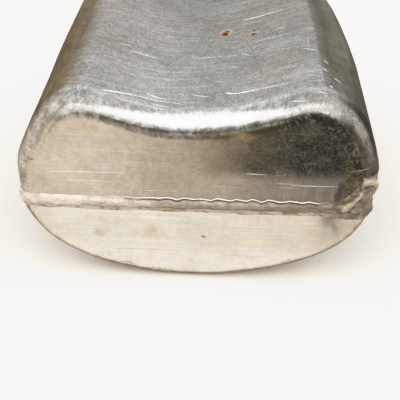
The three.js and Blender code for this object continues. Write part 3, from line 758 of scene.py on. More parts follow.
# ------------------------------------------------------------------------------------------------------- materials
class Nodes:
    """Short way to write a material's node tree."""

    def __init__(self, name):
        self.mat = bpy.data.materials.new(name)
        self.mat.use_nodes = True
        self.t = self.mat.node_tree
        self.t.nodes.clear()
        self.out = self.t.nodes.new("ShaderNodeOutputMaterial")
        self.bsdf = self.t.nodes.new("ShaderNodeBsdfPrincipled")
        self.t.links.new(self.bsdf.outputs[0], self.out.inputs[0])
        self.coord = self.t.nodes.new("ShaderNodeTexCoord").outputs["Object"]

    def put(self, socket, value):
        if isinstance(value, bpy.types.NodeSocket):
            self.t.links.new(value, socket)
        elif value is not None:
            socket.default_value = value

    def scaled(self, scale, vector=None, shift=(0, 0, 0), turn=(0, 0, 0)):
        n = self.t.nodes.new("ShaderNodeMapping")
        self.put(n.inputs["Vector"], vector or self.coord)
        n.inputs["Scale"].default_value = scale
        n.inputs["Location"].default_value = shift
        n.inputs["Rotation"].default_value = turn
        return n.outputs[0]

    def noise(self, scale, detail=4.0, rough=0.55, distort=0.0, vector=None):
        n = self.t.nodes.new("ShaderNodeTexNoise")
        self.put(n.inputs["Vector"], vector or self.coord)
        self.put(n.inputs["Scale"], scale)
        n.inputs["Detail"].default_value = detail
        n.inputs["Roughness"].default_value = rough
        n.inputs["Distortion"].default_value = distort
        return n.outputs["Fac"]

    def voronoi(self, scale, feature="F1", vector=None, rand=1.0):
        n = self.t.nodes.new("ShaderNodeTexVoronoi")
        n.feature = feature
        self.put(n.inputs["Vector"], vector or self.coord)
        n.inputs["Scale"].default_value = scale
        n.inputs["Randomness"].default_value = rand
        return n.outputs["Distance"]

    def ramp(self, fac, *stops):
        """Values or colours at places along fac."""
        n = self.t.nodes.new("ShaderNodeValToRGB")
        self.put(n.inputs[0], fac)
        e = n.color_ramp.elements
        while len(e) < len(stops):
            e.new(0.5)
        for el, (at, v) in zip(e, stops):
            el.position = at
            el.color = (v, v, v, 1) if np.isscalar(v) else (*v, 1)
        return n.outputs[0]

    def step(self, value, lo, hi, a=0.0, b=1.0):
        n = self.t.nodes.new("ShaderNodeMapRange")
        n.interpolation_type = "SMOOTHSTEP"
        self.put(n.inputs[0], value)
        for i, v in ((1, lo), (2, hi), (3, a), (4, b)):
            n.inputs[i].default_value = v
        return n.outputs[0]

    def math(self, op, a, b=None, clamp=False):
        n = self.t.nodes.new("ShaderNodeMath")
        n.operation = op
        n.use_clamp = clamp
        self.put(n.inputs[0], a)
        if b is not None:
            self.put(n.inputs[1], b)
        return n.outputs[0]

    def mix(self, fac, a, b, kind="MIX"):
        n = self.t.nodes.new("ShaderNodeMix")
        n.data_type = "RGBA"
        n.blend_type = kind
        self.put(n.inputs["Factor"], fac)
        for socket, v in ((n.inputs[6], a), (n.inputs[7], b)):
            self.put(socket, v if isinstance(v, bpy.types.NodeSocket) else (*v, 1) if hasattr(v, "__len__") else (v, v, v, 1))
        return n.outputs[2]

    def attribute(self, name):
        n = self.t.nodes.new("ShaderNodeAttribute")
        n.attribute_name = name
        return n.outputs["Fac"]

    def tint(self, name):
        n = self.t.nodes.new("ShaderNodeAttribute")
        n.attribute_name = name
        return n.outputs["Color"]

    def gain(self, mask, amount):
        """1 where the mask is 0, and 1 + amount where it is 1."""
        return self.math("ADD", self.math("MULTIPLY", mask, amount), 1.0)

    def shade(self, colour, value):
        n = self.t.nodes.new("ShaderNodeVectorMath")
        n.operation = "SCALE"
        self.put(n.inputs[0], colour)
        self.put(n.inputs["Scale"], value)
        return n.outputs[0]

    def warped(self, amount, scale):
        """Coordinates pushed about by noise, so that the outline of a spot is ragged."""
        n = self.t.nodes.new("ShaderNodeTexNoise")
        self.put(n.inputs["Vector"], self.coord)
        n.inputs["Scale"].default_value = scale
        n.inputs["Detail"].default_value = 3
        shift = self.t.nodes.new("ShaderNodeVectorMath")
        shift.operation = "MULTIPLY_ADD"
        self.put(shift.inputs[0], n.outputs["Color"])
        shift.inputs[1].default_value = (amount, amount, amount)
        shift.inputs[2].default_value = (-amount / 2, -amount / 2, -amount / 2)
        total = self.t.nodes.new("ShaderNodeVectorMath")
        self.put(total.inputs[0], shift.outputs[0])
        self.put(total.inputs[1], self.coord)
        return total.outputs[0]

    def spot(self, vector, plane, cx, cy, rx, ry, turn=0.0, lo=0.55, hi=1.05):
        """1 inside an oval that lies in a plane, 0 outside."""
        n = self.t.nodes.new("ShaderNodeMapping")
        n.vector_type = "TEXTURE"
        self.put(n.inputs["Vector"], vector)
        if plane == "xy":
            n.inputs["Location"].default_value, n.inputs["Rotation"].default_value = (cx, cy, 0), (0, 0, turn)
            n.inputs["Scale"].default_value = (rx, ry, 1000)
        else:
            n.inputs["Location"].default_value, n.inputs["Rotation"].default_value = (cx, 0, cy), (0, turn, 0)
            n.inputs["Scale"].default_value = (rx, 1000, ry)
        far = self.t.nodes.new("ShaderNodeVectorMath")
        far.operation = "LENGTH"
        self.put(far.inputs[0], n.outputs[0])
        return self.step(far.outputs["Value"], lo, hi, 1.0, 0.0)

    def split(self, vector=None):
        n = self.t.nodes.new("ShaderNodeSeparateXYZ")
        self.put(n.inputs[0], vector or self.coord)
        return n.outputs

    def bump(self, height, distance, strength=1.0, normal=None):
        n = self.t.nodes.new("ShaderNodeBump")
        self.put(n.inputs["Height"], height)
        n.inputs["Distance"].default_value = distance
        n.inputs["Strength"].default_value = strength
        if normal:
            self.t.links.new(normal, n.inputs["Normal"])
        return n.outputs[0]

    def times(self, *values):
        out = values[0]
        for v in values[1:]:
            out = self.math("MULTIPLY", out, v)
        return out

    def hair(self, scale, turn, lo, hi):
        """Fine parallel lines, from noise drawn out along one direction."""
        n = self.t.nodes.new("ShaderNodeMapping")
        n.vector_type = "TEXTURE"
        self.put(n.inputs["Vector"], self.coord)
        n.inputs["Rotation"].default_value = turn
        n.inputs["Scale"].default_value = tuple(1 / v for v in scale)
        return self.step(self.noise(1.0, 3, 0.6, 0.0, n.outputs[0]), lo, hi)

    def most(self, values):
        out = values[0]
        for v in values[1:]:
            out = self.math("MAXIMUM", out, v)
        return out


# Marks on the sheet, in metres: ends of each scratch, its width and its strength.
BACK_SCRATCHES = [
    (-.0310, -.0871, -.0193, -.0840, .55, 1.0), (-.0198, -.0843, -.0088, -.0838, .45, .8),
    (-.0088, -.0838, -.0048, -.0851, .4, .6), (-.0176, -.0808, -.0109, -.0824, .45, .9),
    (-.0224, -.0816, -.0189, -.0804, .3, .6), 
    (-.0305, -.0478, -.0246, -.0466, .35, .6), (-.0262, -.0510, -.0154, -.0512, .35, .85),
    (-.0315, -.0484, -.0298, -.0482, .3, .4), (-.0178, -.0306, -.0153, -.0348, .25, .5),
    (-.0215, -.0682, -.0166, -.0699, .3, .5), (-.0278, -.0664, -.0210, -.0662, .25, .35),
    (.0147, -.0125, .0303, -.0125, .45, .95), (-.0018, -.0468, .0077, -.0460, .3, .6),
    (.0077, -.0470, .0135, -.0464, .25, .5), (.0135, -.0456, .0178, -.0498, .3, .6),
    (.0085, -.0774, .0134, -.0796, .55, 1.0), (.0128, -.0790, .0206, -.0792, .5, 1.0),
    (.0200, -.0792, .0291, -.0808, .35, .8), (.0201, -.0379, .0309, -.0383, .3, .5),
    (-.0025, -.0778, .0045, -.0798, .35, .7), (.0052, -.0674, .0081, -.0687, .3, .6),
    (-.0048, -.0450, -.0003, -.0468, .2, .4), (.0053, -.0565, .0135, -.0573, .25, .4),
    (.0107, -.0551, .0127, -.0587, .3, .6), (.0210, -.0648, .0244, -.0638, .25, .5),
    (-.0065, -.0774, -.0045, -.0796, .3, .6), (.0356, -.0553, .0409, -.0583, .35, .8),
    (.0417, -.0654, .0433, -.0676, .35, .8), (.0407, -.0727, .0422, -.0749, .35, .8),
    (.0439, -.0780, .0465, -.0792, .35, .8), (.0417, -.0859, .0427, -.0866, .5, .9),
    (.0377, -.0897, .0409, -.0900, .3, .6), (.0375, -.0447, .0373, -.0559, .25, .5),
    (.0291, -.0909, .0346, -.0918, .25, .5), (.0008, -.0504, .0014, -.0593, .25, .5),
    (.0001, -.0486, .0005, -.0557, .2, .4), (.0030, -.0490, .0043, -.0563, .2, .3),
    (-.0157, -.0870, -.0086, -.0872, .35, .7), (-.0257, -.0892, -.0200, -.0882, .3, .5),
    (-.0282, -.0897, -.0256, -.0907, .3, .35), (.0222, -.0553, .0269, -.0514, .2, .35),
    (-.0103, -.0168, -.0054, -.0192, .25, .4), (-.0064, -.0148, -.0040, -.0136, .3, .5),
    (.0135, -.0162, .0221, -.0188, .2, .4), (.0086, .0010, .0136, .0010, .25, .4),
    (-.0149, -.0067, -.0098, -.0111, .2, .35), (-.0347, -.0658, -.0285, -.0670, .25, .35),
    (-.0389, -.0820, -.0343, -.0739, .25, .3), (-.0429, -.0707, -.0376, -.0654, .25, .3),
    (-.0427, -.0912, -.0366, -.0884, .25, .3),
    (-.0210, .0180, -.0050, .0240, .3, .6), (.0120, .0300, .0260, .0270, .35, .7), (-.0330, .0050, -.0260, .0120, .25, .5),
    (.0020, .0420, .0150, .0500, .25, .5), (-.0280, .0440, -.0150, .0400, .3, .6), (.0300, .0100, .0370, .0190, .25, .5),
]
BASE_SCRATCHES = [
    (-.0497, .0430, -.0235, .0436, .30, .60), (-.0459, .0398, -.0263, .0401, .25, .55), (.0163, .0447, .0236, .0446, .30, .30),
    (.0311, .0406, .0481, .0407, .26, .35), (.0261, .0414, .0344, .0411, .22, .2), (.0265, .0398, .0346, .0394, .22, .12),
    (-.0549, .0510, -.0511, .0489, .3, .4), (.0045, .0394, .0146, .0394, .22, .25), (-.0190, .0368, -.0055, .0372, .25, .35),
    (.0525, .0470, .0575, .0480, .22, .1),
]
FRONT_SCRATCHES = [
    (-.0475, .0200, -.0125, .0210, .25, .35), (-.0371, .0187, .0154, .0201, .25, .4), (.0014, .0229, .0359, .0231, .25, .35),
    (.0222, .0212, .0422, .0221, .25, .3), (-.0090, .0241, .0083, .0245, .2, .3), (-.0300, .0120, -.0120, .0124, .25, .3),
    (.0080, .0110, .0260, .0106, .25, .3),
]


# Soft stains drawn as ovals on the back (x, y) or on the base (x, z), in metres: centre, radii and strength.
STAINS = {
    "olive": [("xz", -.0325, .0590, .0095, .0034, .34), ("xz", .0146, .0588, .0056, .0024, .50), ("xz", -.0535, .0430, .0045, .0080, .30),
              ("xz", .0380, .0600, .0090, .0016, .16), ("xz", -.0450, .0600, .0050, .0030, .25), ("xy", -.0179, -.0336, .0028, .0020, .32),
              ("xy", -.0260, .0260, .0050, .0040, .25), ("xy", -.0002, -.0832, .0040, .0014, .30), ("xz", -.0339, .0188, .0038, .0024, .55),
              ("xz", -.0153, .0201, .0050, .0040, .60), ("xz", -.0500, .0220, .0080, .0090, .25), ("xy", -.0090, .0700, .0060, .0040, .25)],
    "rust": [("xz", .0570, .0480, .0020, .0050, .20), ("xz", .0090, .0596, .0090, .0010, .30),
             ("xy", .0180, .0480, .0026, .0019, .5), ("xy", .0119, -.0130, .0040, .0014, .25)],
    "film": [("xz", -.0320, .0469, .0110, .0036, .40), ("xz", -.0289, .0415, .0090, .0040, .45), ("xy", .0300, .0020, .0130, .0140, .35),
             ("xy", -.0126, -.0504, .0034, .0032, .30), ("xy", -.0270, -.0900, .0036, .0026, .50), ("xy", .0380, -.0400, .0090, .0300, .25),
             ("xz", -.0050, .0255, .0300, .0020, .22), ("xz", .0470, .0252, .0070, .0062, .75), ("xy", -.0050, -.0700, .0300, .0100, .12)],
}
# Small spots with a ragged outline: plane, centre, radii, turn, colour and strength.
RUST, DARK, OCHRE = (0.38, 0.145, 0.040), (0.045, 0.030, 0.020), (0.40, 0.31, 0.12)
SPOTS = [
    ("xy", .0080, -.0236, .0030, .0042, -.5, (0.48, 0.33, 0.21), .60), ("xy", .0078, -.0240, .0017, .0032, -.5, RUST, .90),
    ("xy", .0080, -.0252, .0013, .0022, .2, (0.060, 0.030, 0.014), .95), ("xy", .0088, -.0222, .0008, .0014, .3, (0.13, 0.055, 0.020), .85),
    ("xy", .0188, -.0296, .0026, .0026, .2, (0.50, 0.34, 0.20), .55), ("xy", .0188, -.0304, .0017, .0012, .2, (0.10, 0.045, 0.020), .95),
    ("xy", .0188, -.0266, .0009, .0016, .1, (0.12, 0.055, 0.025), .85), ("xy", .0284, -.0312, .0022, .0018, .3, OCHRE, .65),
    ("xy", .0285, -.0290, .0015, .0006, .3, DARK, .70), ("xy", .0051, -.0375, .0007, .0006, .0, (0.10, 0.085, 0.04), .85),
    ("xy", -.0306, -.0482, .0013, .0006, .3, DARK, .65),
]
BASE_SPOTS = [
    ("xz", -.0563, .0493, .0007, .0010, .2, DARK, .70), ("xz", -.0550, .0474, .0008, .0006, .2, DARK, .65),
    ("xz", -.0573, .0512, .0005, .0006, .2, DARK, .60), ("xz", .0478, .0385, .0014, .0052, .12, (0.050, 0.042, 0.030), .80),
]
FRONT_SPOTS = [
    ("xz", .0025, .0187, .0010, .0008, .2, (0.16, 0.10, 0.06), .80), ("xz", -.0240, .0060, .0034, .0004, .2, DARK, .50),
    ("xz", -.0120, .0035, .0060, .0003, .1, DARK, .50), ("xz", .0466, .0296, .0026, .0018, .3, (0.060, 0.045, 0.030), .75),
    ("xz", .0320, .0090, .0024, .0004, -.3, DARK, .45),
]


def speckled(m, size, density, seed=0.0):
    """Small round specks: 1 in a speck."""
    v = m.voronoi(size, "F1", m.scaled((1, 1, 1), shift=(seed, seed * 1.7, seed * 0.6)))
    pick = m.noise(size * 0.37, 2, 0.5)
    return m.math("MULTIPLY", m.step(v, 0.10, 0.22, 1.0, 0.0), m.step(pick, 1 - density, 1 - density + 0.08))


def shell_material(name, back):
    m = Nodes(name)
    flat, edge, stain_and_dark_reflection, worn = (m.attribute(a) for a in ("flat", "edge", "stain_and_dark_reflection", "worn"))
    up_face = m.math("SUBTRACT", 1.0, flat)
    mott = m.noise(360, 5, 0.68, 0.3)
    grain = m.noise(1750, 3, 0.65)
    cloud = m.noise(70, 5, 0.6, 0.5)
    mottle = m.math("ADD", m.math("MULTIPLY", mott, 0.55), m.math("MULTIPLY", grain, 0.45))

    # the sheet's broad tone, broken up by grain, wiping lines across it and drawing lines up its base
    colour = m.mix(m.step(m.noise(150, 4, 0.6, 0.4), 0.35, 0.65), m.tint("tone"), m.mix(flat, m.mix(1.0, m.tint("tone"), (1.0, 0.985, 0.95), "MULTIPLY"), m.mix(1.0, m.tint("tone"), (1.02, 0.985, 0.94), "MULTIPLY")))
    soft = m.math("MULTIPLY", flat, 0.62 if back else 0.80)
    fine = m.math("MULTIPLY", m.step(grain, 0.30, 0.70, 0.70, 1.34), m.step(mott, 0.30, 0.68, 1.16, 0.82))
    value = m.math("ADD", m.math("MULTIPLY", fine, m.math("SUBTRACT", 1.0, soft)), soft)
    value = m.math("MULTIPLY", value, m.step(cloud, 0.34, 0.70, 1.04, 0.93))
    lines = m.most([m.hair((24, 1500, 1), (0, 0, 0.17), 0.50, 0.70), m.hair((34, 1300, 1), (0, 0, -0.22), 0.54, 0.72)])
    lines = m.math("MULTIPLY", lines, up_face)
    value = m.math("MULTIPLY", value, m.gain(lines, 0.09))
    value = m.math("MULTIPLY", value, m.gain(m.math("MULTIPLY", m.hair((16, 900, 1), (0, 0, -0.04), 0.46, 0.30), up_face), -0.07))
    drawn = m.times(m.hair((1500, 1, 46), (0, 0.03, 0), 0.35, 0.66), flat, m.math("ADD", m.attribute("drawn"), 0.04))
    value = m.math("MULTIPLY", value, m.gain(drawn, 0.34))
    value = m.math("MULTIPLY", value, m.gain(m.math("MULTIPLY", m.hair((22, 1, 1400), (0, 0.01, 0), 0.50, 0.72), flat), 0.14))
    slant = m.step(m.noise(1.0, 4, 0.65, 0.2, m.scaled((420, 90, 220), turn=(0, 0, 0.6))), 0.34, 0.66)
    value = m.math("MULTIPLY", value, m.gain(m.times(m.math("SUBTRACT", slant, 0.5), worn, up_face), 0.80))
    colour = m.shade(colour, value)

    # the stained part of the base, dark with tarnish and a painted dark reflection, has a coarse grain in greens,
    # browns and greys, with bare specks in it
    if back:
        tint = m.noise(210, 5, 0.66, 0.5, m.scaled((1, 1, 1), shift=(0.7, 0.2, 0.4)))
        hues = m.ramp(tint, (0.34, (0.42, 0.46, 0.43)), (0.43, (0.95, 1.00, 0.88)), (0.50, (0.62, 0.62, 0.62)), (0.57, (1.18, 1.18, 1.12)), (0.66, (1.42, 1.34, 1.10)))
        colour = m.mix(stain_and_dark_reflection, colour, m.mix(1.0, m.shade(colour, m.step(m.noise(1150, 4, 0.72), 0.34, 0.64, 0.42, 1.56)), hues, "MULTIPLY"))
        specks = m.times(speckled(m, 1250, 0.50, 0.013), m.step(stain_and_dark_reflection, 0.3, 0.9), 0.32)
        colour = m.mix(specks, colour, (0.42, 0.40, 0.36))

    # dark band along the bend between base and back: drawn-on dirt, and a painted dark reflection just under the bend's
    # highlight
    ragged = m.step(m.math("ADD", edge, m.math("MULTIPLY", m.math("SUBTRACT", mottle, 0.5), 1.9)), 0.04, 1.02)
    rust_tint = m.step(m.noise(190, 4, 0.6, 0.4, m.scaled((1, 1, 1), shift=(0.3, 0.1, 0.2))), 0.42, 0.62)
    dirt_and_dark_reflection_colour = m.mix(rust_tint, (0.011, 0.011, 0.011), (0.021, 0.017, 0.012))
    colour = m.mix(m.math("MULTIPLY", ragged, 0.93), colour, dirt_and_dark_reflection_colour)
    bare = m.times(m.step(m.noise(760, 4, 0.62, 0.6, m.scaled((1, 1, 1), shift=(0.15, 0.4, 0.9))), 0.49, 0.62), m.step(edge, 0.2, 0.7), m.step(m.split()[0], 0.018, 0.036), 0.50)
    colour = m.mix(bare, colour, (0.185, 0.180, 0.150))
    fringe = m.times(m.step(edge, 0.05, 0.34), m.step(mott, 0.34, 0.60), m.step(m.split()[0], 0.020, 0.034, 1.0, 0.25))
    colour = m.mix(m.math("MULTIPLY", fringe, 0.36), colour, (0.085, 0.060, 0.036))

    # smaller stains: a grey film, olive and rust, then sharp spots
    olive, rust, film = (m.attribute(k) for k in ("olive", "rust", "film"))
    colour = m.mix(m.times(m.step(film, 0.05, 0.9), m.step(cloud, 0.25, 0.65, 0.55, 1.0), 0.55), colour, (0.26, 0.24, 0.215))
    o_mask = m.step(m.math("ADD", olive, m.times(m.math("SUBTRACT", mottle, 0.5), olive, 3.0)), 0.05, 0.95)
    colour = m.mix(m.math("MULTIPLY", o_mask, 0.80), colour, (0.42, 0.335, 0.15))
    r_mask = m.step(m.math("ADD", rust, m.times(m.math("SUBTRACT", mottle, 0.5), rust, 3.0)), 0.08, 0.90)
    colour = m.mix(m.math("MULTIPLY", r_mask, 0.80), colour, (0.27, 0.155, 0.075))
    ragged_at = m.warped(0.0022, 700)
    dull = m.most([worn, ragged, m.math("MULTIPLY", m.math("MAXIMUM", o_mask, r_mask), 0.6)])
    for plane, cx, cy, rx, ry, turn, shade, power in SPOTS + BASE_SPOTS if back else FRONT_SPOTS:
        mask = m.math("MULTIPLY", m.spot(ragged_at, plane, cx, cy, rx, ry, turn), power)
        mask = m.math("MULTIPLY", mask, flat if plane == "xz" else up_face)
        colour = m.mix(mask, colour, shade)
        dull = m.math("MAXIMUM", dull, mask)
    # loose pits and specks
    pits = speckled(m, 700, 0.50, 0.031)
    pit_zone = m.math("ADD", m.math("MULTIPLY", m.attribute("pits"), 0.70), 0.14)
    colour = m.mix(m.times(pits, pit_zone), colour, (0.10, 0.08, 0.055))
    m.put(m.bsdf.inputs["Base Color"], colour)
    m.put(m.bsdf.inputs["Metallic"], m.math("SUBTRACT", 1.0, m.most([m.math("MULTIPLY", lines, 0.15), m.math("MULTIPLY", dull, 0.80)])))
    rough = m.ramp(mottle, (0.36, 0.30), (0.66, 0.42))
    rough = m.mix(m.math("MULTIPLY", lines, 0.5), rough, 0.50)
    rough = m.mix(m.math("MULTIPLY", dull, 0.85), rough, 0.70)
    m.put(m.bsdf.inputs["Roughness"], rough)
    m.bsdf.inputs["Specular Tint"].default_value = (0.42, 0.37, 0.30, 1)
    m.bsdf.inputs["Specular IOR Level"].default_value = 0.12
    along = m.mix(flat, m.noise(1.0, 3, 0.6, 0.0, m.scaled((60, 1500, 1500))), m.noise(1.0, 3, 0.6, 0.0, m.scaled((1500, 1500, 60))))
    bump = m.bump(along, 0.00005, 0.6)
    bump = m.bump(mottle, 0.00010, 0.5, bump)
    m.put(m.bsdf.inputs["Normal"], bump)
    return m.mat


def metal_material(name, base, rough_lo, rough_hi, rings=False, scale=1.0):
    m = Nodes(name)
    cloud = m.noise(120 * scale, 5, 0.6, 0.3)
    grain = m.noise(1400 * scale, 3, 0.6)
    if rings:
        xyz = m.split()
        z = m.math("SUBTRACT", xyz[2], AXIS_Z * 0.001)
        r = m.math("SQRT", m.math("ADD", m.math("MULTIPLY", xyz[0], xyz[0]), m.math("MULTIPLY", z, z)))
        comb = m.t.nodes.new("ShaderNodeCombineXYZ")
        m.put(comb.inputs[0], r)
        m.put(comb.inputs[1], xyz[1])
        brush = m.noise(2600, 3, 0.7, 0.0, comb.outputs[0])
    else:
        brush = m.noise(1.0, 4, 0.65, 0.0, m.scaled((1500, 220, 1500)))
    colour = m.mix(m.step(cloud, 0.35, 0.7), base, tuple(c * 0.72 for c in base))
    colour = m.mix(m.math("MULTIPLY", m.step(brush, 0.4, 0.7), 0.3), colour, tuple(min(1, c * 1.15) for c in base))
    m.put(m.bsdf.inputs["Base Color"], colour)
    m.bsdf.inputs["Metallic"].default_value = 1.0
    m.put(m.bsdf.inputs["Roughness"], m.ramp(m.mix(0.5, cloud, brush), (0.35, rough_lo), (0.65, rough_hi)))
    bump = m.bump(brush, 0.00004, 0.6)
    m.put(m.bsdf.inputs["Normal"], m.bump(grain, 0.00003, 0.5, bump))
    return m.mat


def weld_material(name):
    m = Nodes(name)
    cloud = m.noise(170, 5, 0.65, 0.5)
    flake = m.noise(480, 5, 0.70, 0.6, m.scaled((0.55, 1, 1)))
    grain = m.noise(1500, 3, 0.7)
    gap, foot, burnt, lip = (m.attribute(a) for a in ("gap", "foot", "burnt", "lip"))
    flakes = m.math("MULTIPLY", m.math("SUBTRACT", flake, 0.5), 2.0)
    value = m.math("MULTIPLY", m.step(flake, 0.36, 0.66, 1.12, 0.78), m.step(grain, 0.3, 0.7, 0.88, 1.12))
    colour = m.shade(m.mix(m.step(cloud, 0.35, 0.68), m.tint("tone"), m.mix(1.0, m.tint("tone"), (0.98, 0.93, 0.895), "MULTIPLY")), value)
    foot_mask = m.step(m.math("ADD", foot, m.math("MULTIPLY", flakes, 0.45)), 0.25, 0.70)
    foot_col = m.ramp(flake, (0.34, (0.13, 0.090, 0.050)), (0.45, (0.30, 0.235, 0.165)), (0.58, (0.52, 0.455, 0.375)), (0.72, (0.22, 0.165, 0.105)))
    colour = m.mix(m.math("MULTIPLY", foot_mask, 0.90), colour, foot_col)
    line = m.math("MULTIPLY", m.step(m.math("ABSOLUTE", m.math("SUBTRACT", foot, 0.5)), 0.05, 0.42, 1.0, 0.0), m.step(cloud, 0.30, 0.55, 0.4, 1.0))
    colour = m.mix(m.math("MULTIPLY", line, 0.85), colour, (0.100, 0.066, 0.040))
    crust = m.times(burnt, m.step(m.math("ADD", flake, m.math("MULTIPLY", cloud, 0.5)), 0.62, 0.84))
    colour = m.mix(m.math("MULTIPLY", crust, 0.85), colour, (0.065, 0.055, 0.034))
    lip_mask = m.step(m.math("ADD", lip, m.math("MULTIPLY", flakes, 0.65)), 0.42, 0.88)
    colour = m.mix(m.math("MULTIPLY", lip_mask, 0.85), colour, (0.80, 0.77, 0.73))
    # painted shade: the groove under the lip is coloured nearly black
    gap_mask = m.step(m.math("ADD", gap, m.math("MULTIPLY", flakes, 0.65)), 0.46, 0.92)
    colour = m.mix(m.math("MULTIPLY", gap_mask, 0.90), colour, (0.060, 0.045, 0.034))
    m.put(m.bsdf.inputs["Base Color"], colour)
    dull = m.math("MAXIMUM", m.math("SUBTRACT", 0.66, m.math("MULTIPLY", lip_mask, 0.66)), m.most([gap_mask, m.math("MULTIPLY", crust, 0.8)]))
    m.put(m.bsdf.inputs["Metallic"], m.math("SUBTRACT", 1.0, m.math("MULTIPLY", dull, 0.85)))
    m.put(m.bsdf.inputs["Roughness"], m.math("ADD", m.step(flake, 0.3, 0.7, 0.28, 0.42), m.math("MULTIPLY", dull, 0.30)))
    m.bsdf.inputs["Specular IOR Level"].default_value = 0.35
    bump = m.bump(grain, 0.00008, 0.7)
    m.put(m.bsdf.inputs["Normal"], m.bump(flake, 0.00030, 0.6, bump))
    return m.mat


def cork_material(name):
    m = Nodes(name)
    cells = m.voronoi(1100)
    cloud = m.noise(260, 5, 0.6)
    colour = m.mix(m.step(cloud, 0.35, 0.65), (0.36, 0.22, 0.11), (0.20, 0.11, 0.05))
    colour = m.mix(m.step(cells, 0.0, 0.5), (0.10, 0.055, 0.03), colour)
    m.put(m.bsdf.inputs["Base Color"], colour)
    m.put(m.bsdf.inputs["Roughness"], m.ramp(cloud, (0.3, 0.75), (0.7, 0.95)))
    m.put(m.bsdf.inputs["Normal"], m.bump(cells, 0.0003, 0.6))
    return m.mat


def build_scratches(name, shell, marks):
    """Thin burrs along the scratches, lens shaped and laid on the sheet; their material paints them near white as a
    glint.
    """
    from mathutils.bvhtree import BVHTree
    mesh = shell.data
    tree = BVHTree.FromPolygons([v.co[:] for v in mesh.vertices], [p.vertices[:] for p in mesh.polygons])
    verts, faces, strength = [], [], []
    for number, (plane, ax, ay, bx, by, width, power) in enumerate(marks):
        length = math.hypot(bx - ax, by - ay)
        steps = max(7, int(length / 0.0007))
        d = ((bx - ax) / length, (by - ay) / length)
        rows = []
        for i in range(steps + 1):
            t = i / steps
            sway = 0.00004 * math.sin(5.1 * t + number)
            half = width * (0.00065 + 0.00055 * power) * max(math.sin(math.pi * min(t * 1.25 + 0.04, 1.0)) if t < 0.37 else (1 - t) / 0.63, 0.03) ** 0.7
            half *= 1 + 0.20 * math.sin(29 * t + 1.7 * number)
            points = []
            for off in (-half, 0.0, half):
                u = ax + d[0] * length * t - d[1] * (off + sway)
                v = ay + d[1] * length * t + d[0] * (off + sway)
                start, aim = ((u, v, 0.2), (0, 0, -1)) if plane == "xy" else ((u, -0.2, v), (0, 1, 0))
                hit, normal, _, _ = tree.ray_cast(Vector(start), Vector(aim))
                if hit is None:
                    points = []
                    break
                if normal.dot(Vector(aim)) > 0:
                    normal = -normal
                points.append(hit + normal * (0.000035 if off == 0.0 else -0.000012))
                if off == 0.0:
                    under = hit - normal * 0.00006
            if points:
                rows.append(points + [under])
        if len(rows) < 3:
            continue
        first = len(verts)
        for r in rows:
            verts += [tuple(q) for q in r]
        strength += [power] * (4 * len(rows))
        for i in range(len(rows) - 1):
            a_, b_ = first + 4 * i, first + 4 * (i + 1)
            for j in range(4):
                k = (j + 1) % 4
                faces.append((a_ + j, b_ + j, b_ + k, a_ + k))
        faces.append(tuple(first + j for j in range(4)))
        faces.append(tuple(first + 4 * (len(rows) - 1) + j for j in range(3, -1, -1)))
    ob = make_object(name, np.array(verts) * 1000 + [0, MID, 0], faces)
    point_values(ob, "bright", strength)
    return ob


def dimmed(x, angle):
    """Where the bend is painted darker as shade and made matt: all of it at the ends, and only its upper part on the
    humps.
    """
    low = np.interp(x, [-62, -50, -40, -32, -20, -8, 8, 20, 29, 36, 41, 47, 62], [4, 9, 19, 26, 38, 56, 58, 40, 28, 25, 25, 25, 14])
    top = np.interp(x, [-62, -34, -16, 20, 34, 62], [66, 62, 57, 57, 60, 66])
    return smooth(angle, low - 3, low + 14) * (1 - smooth(angle, top, top + 21))


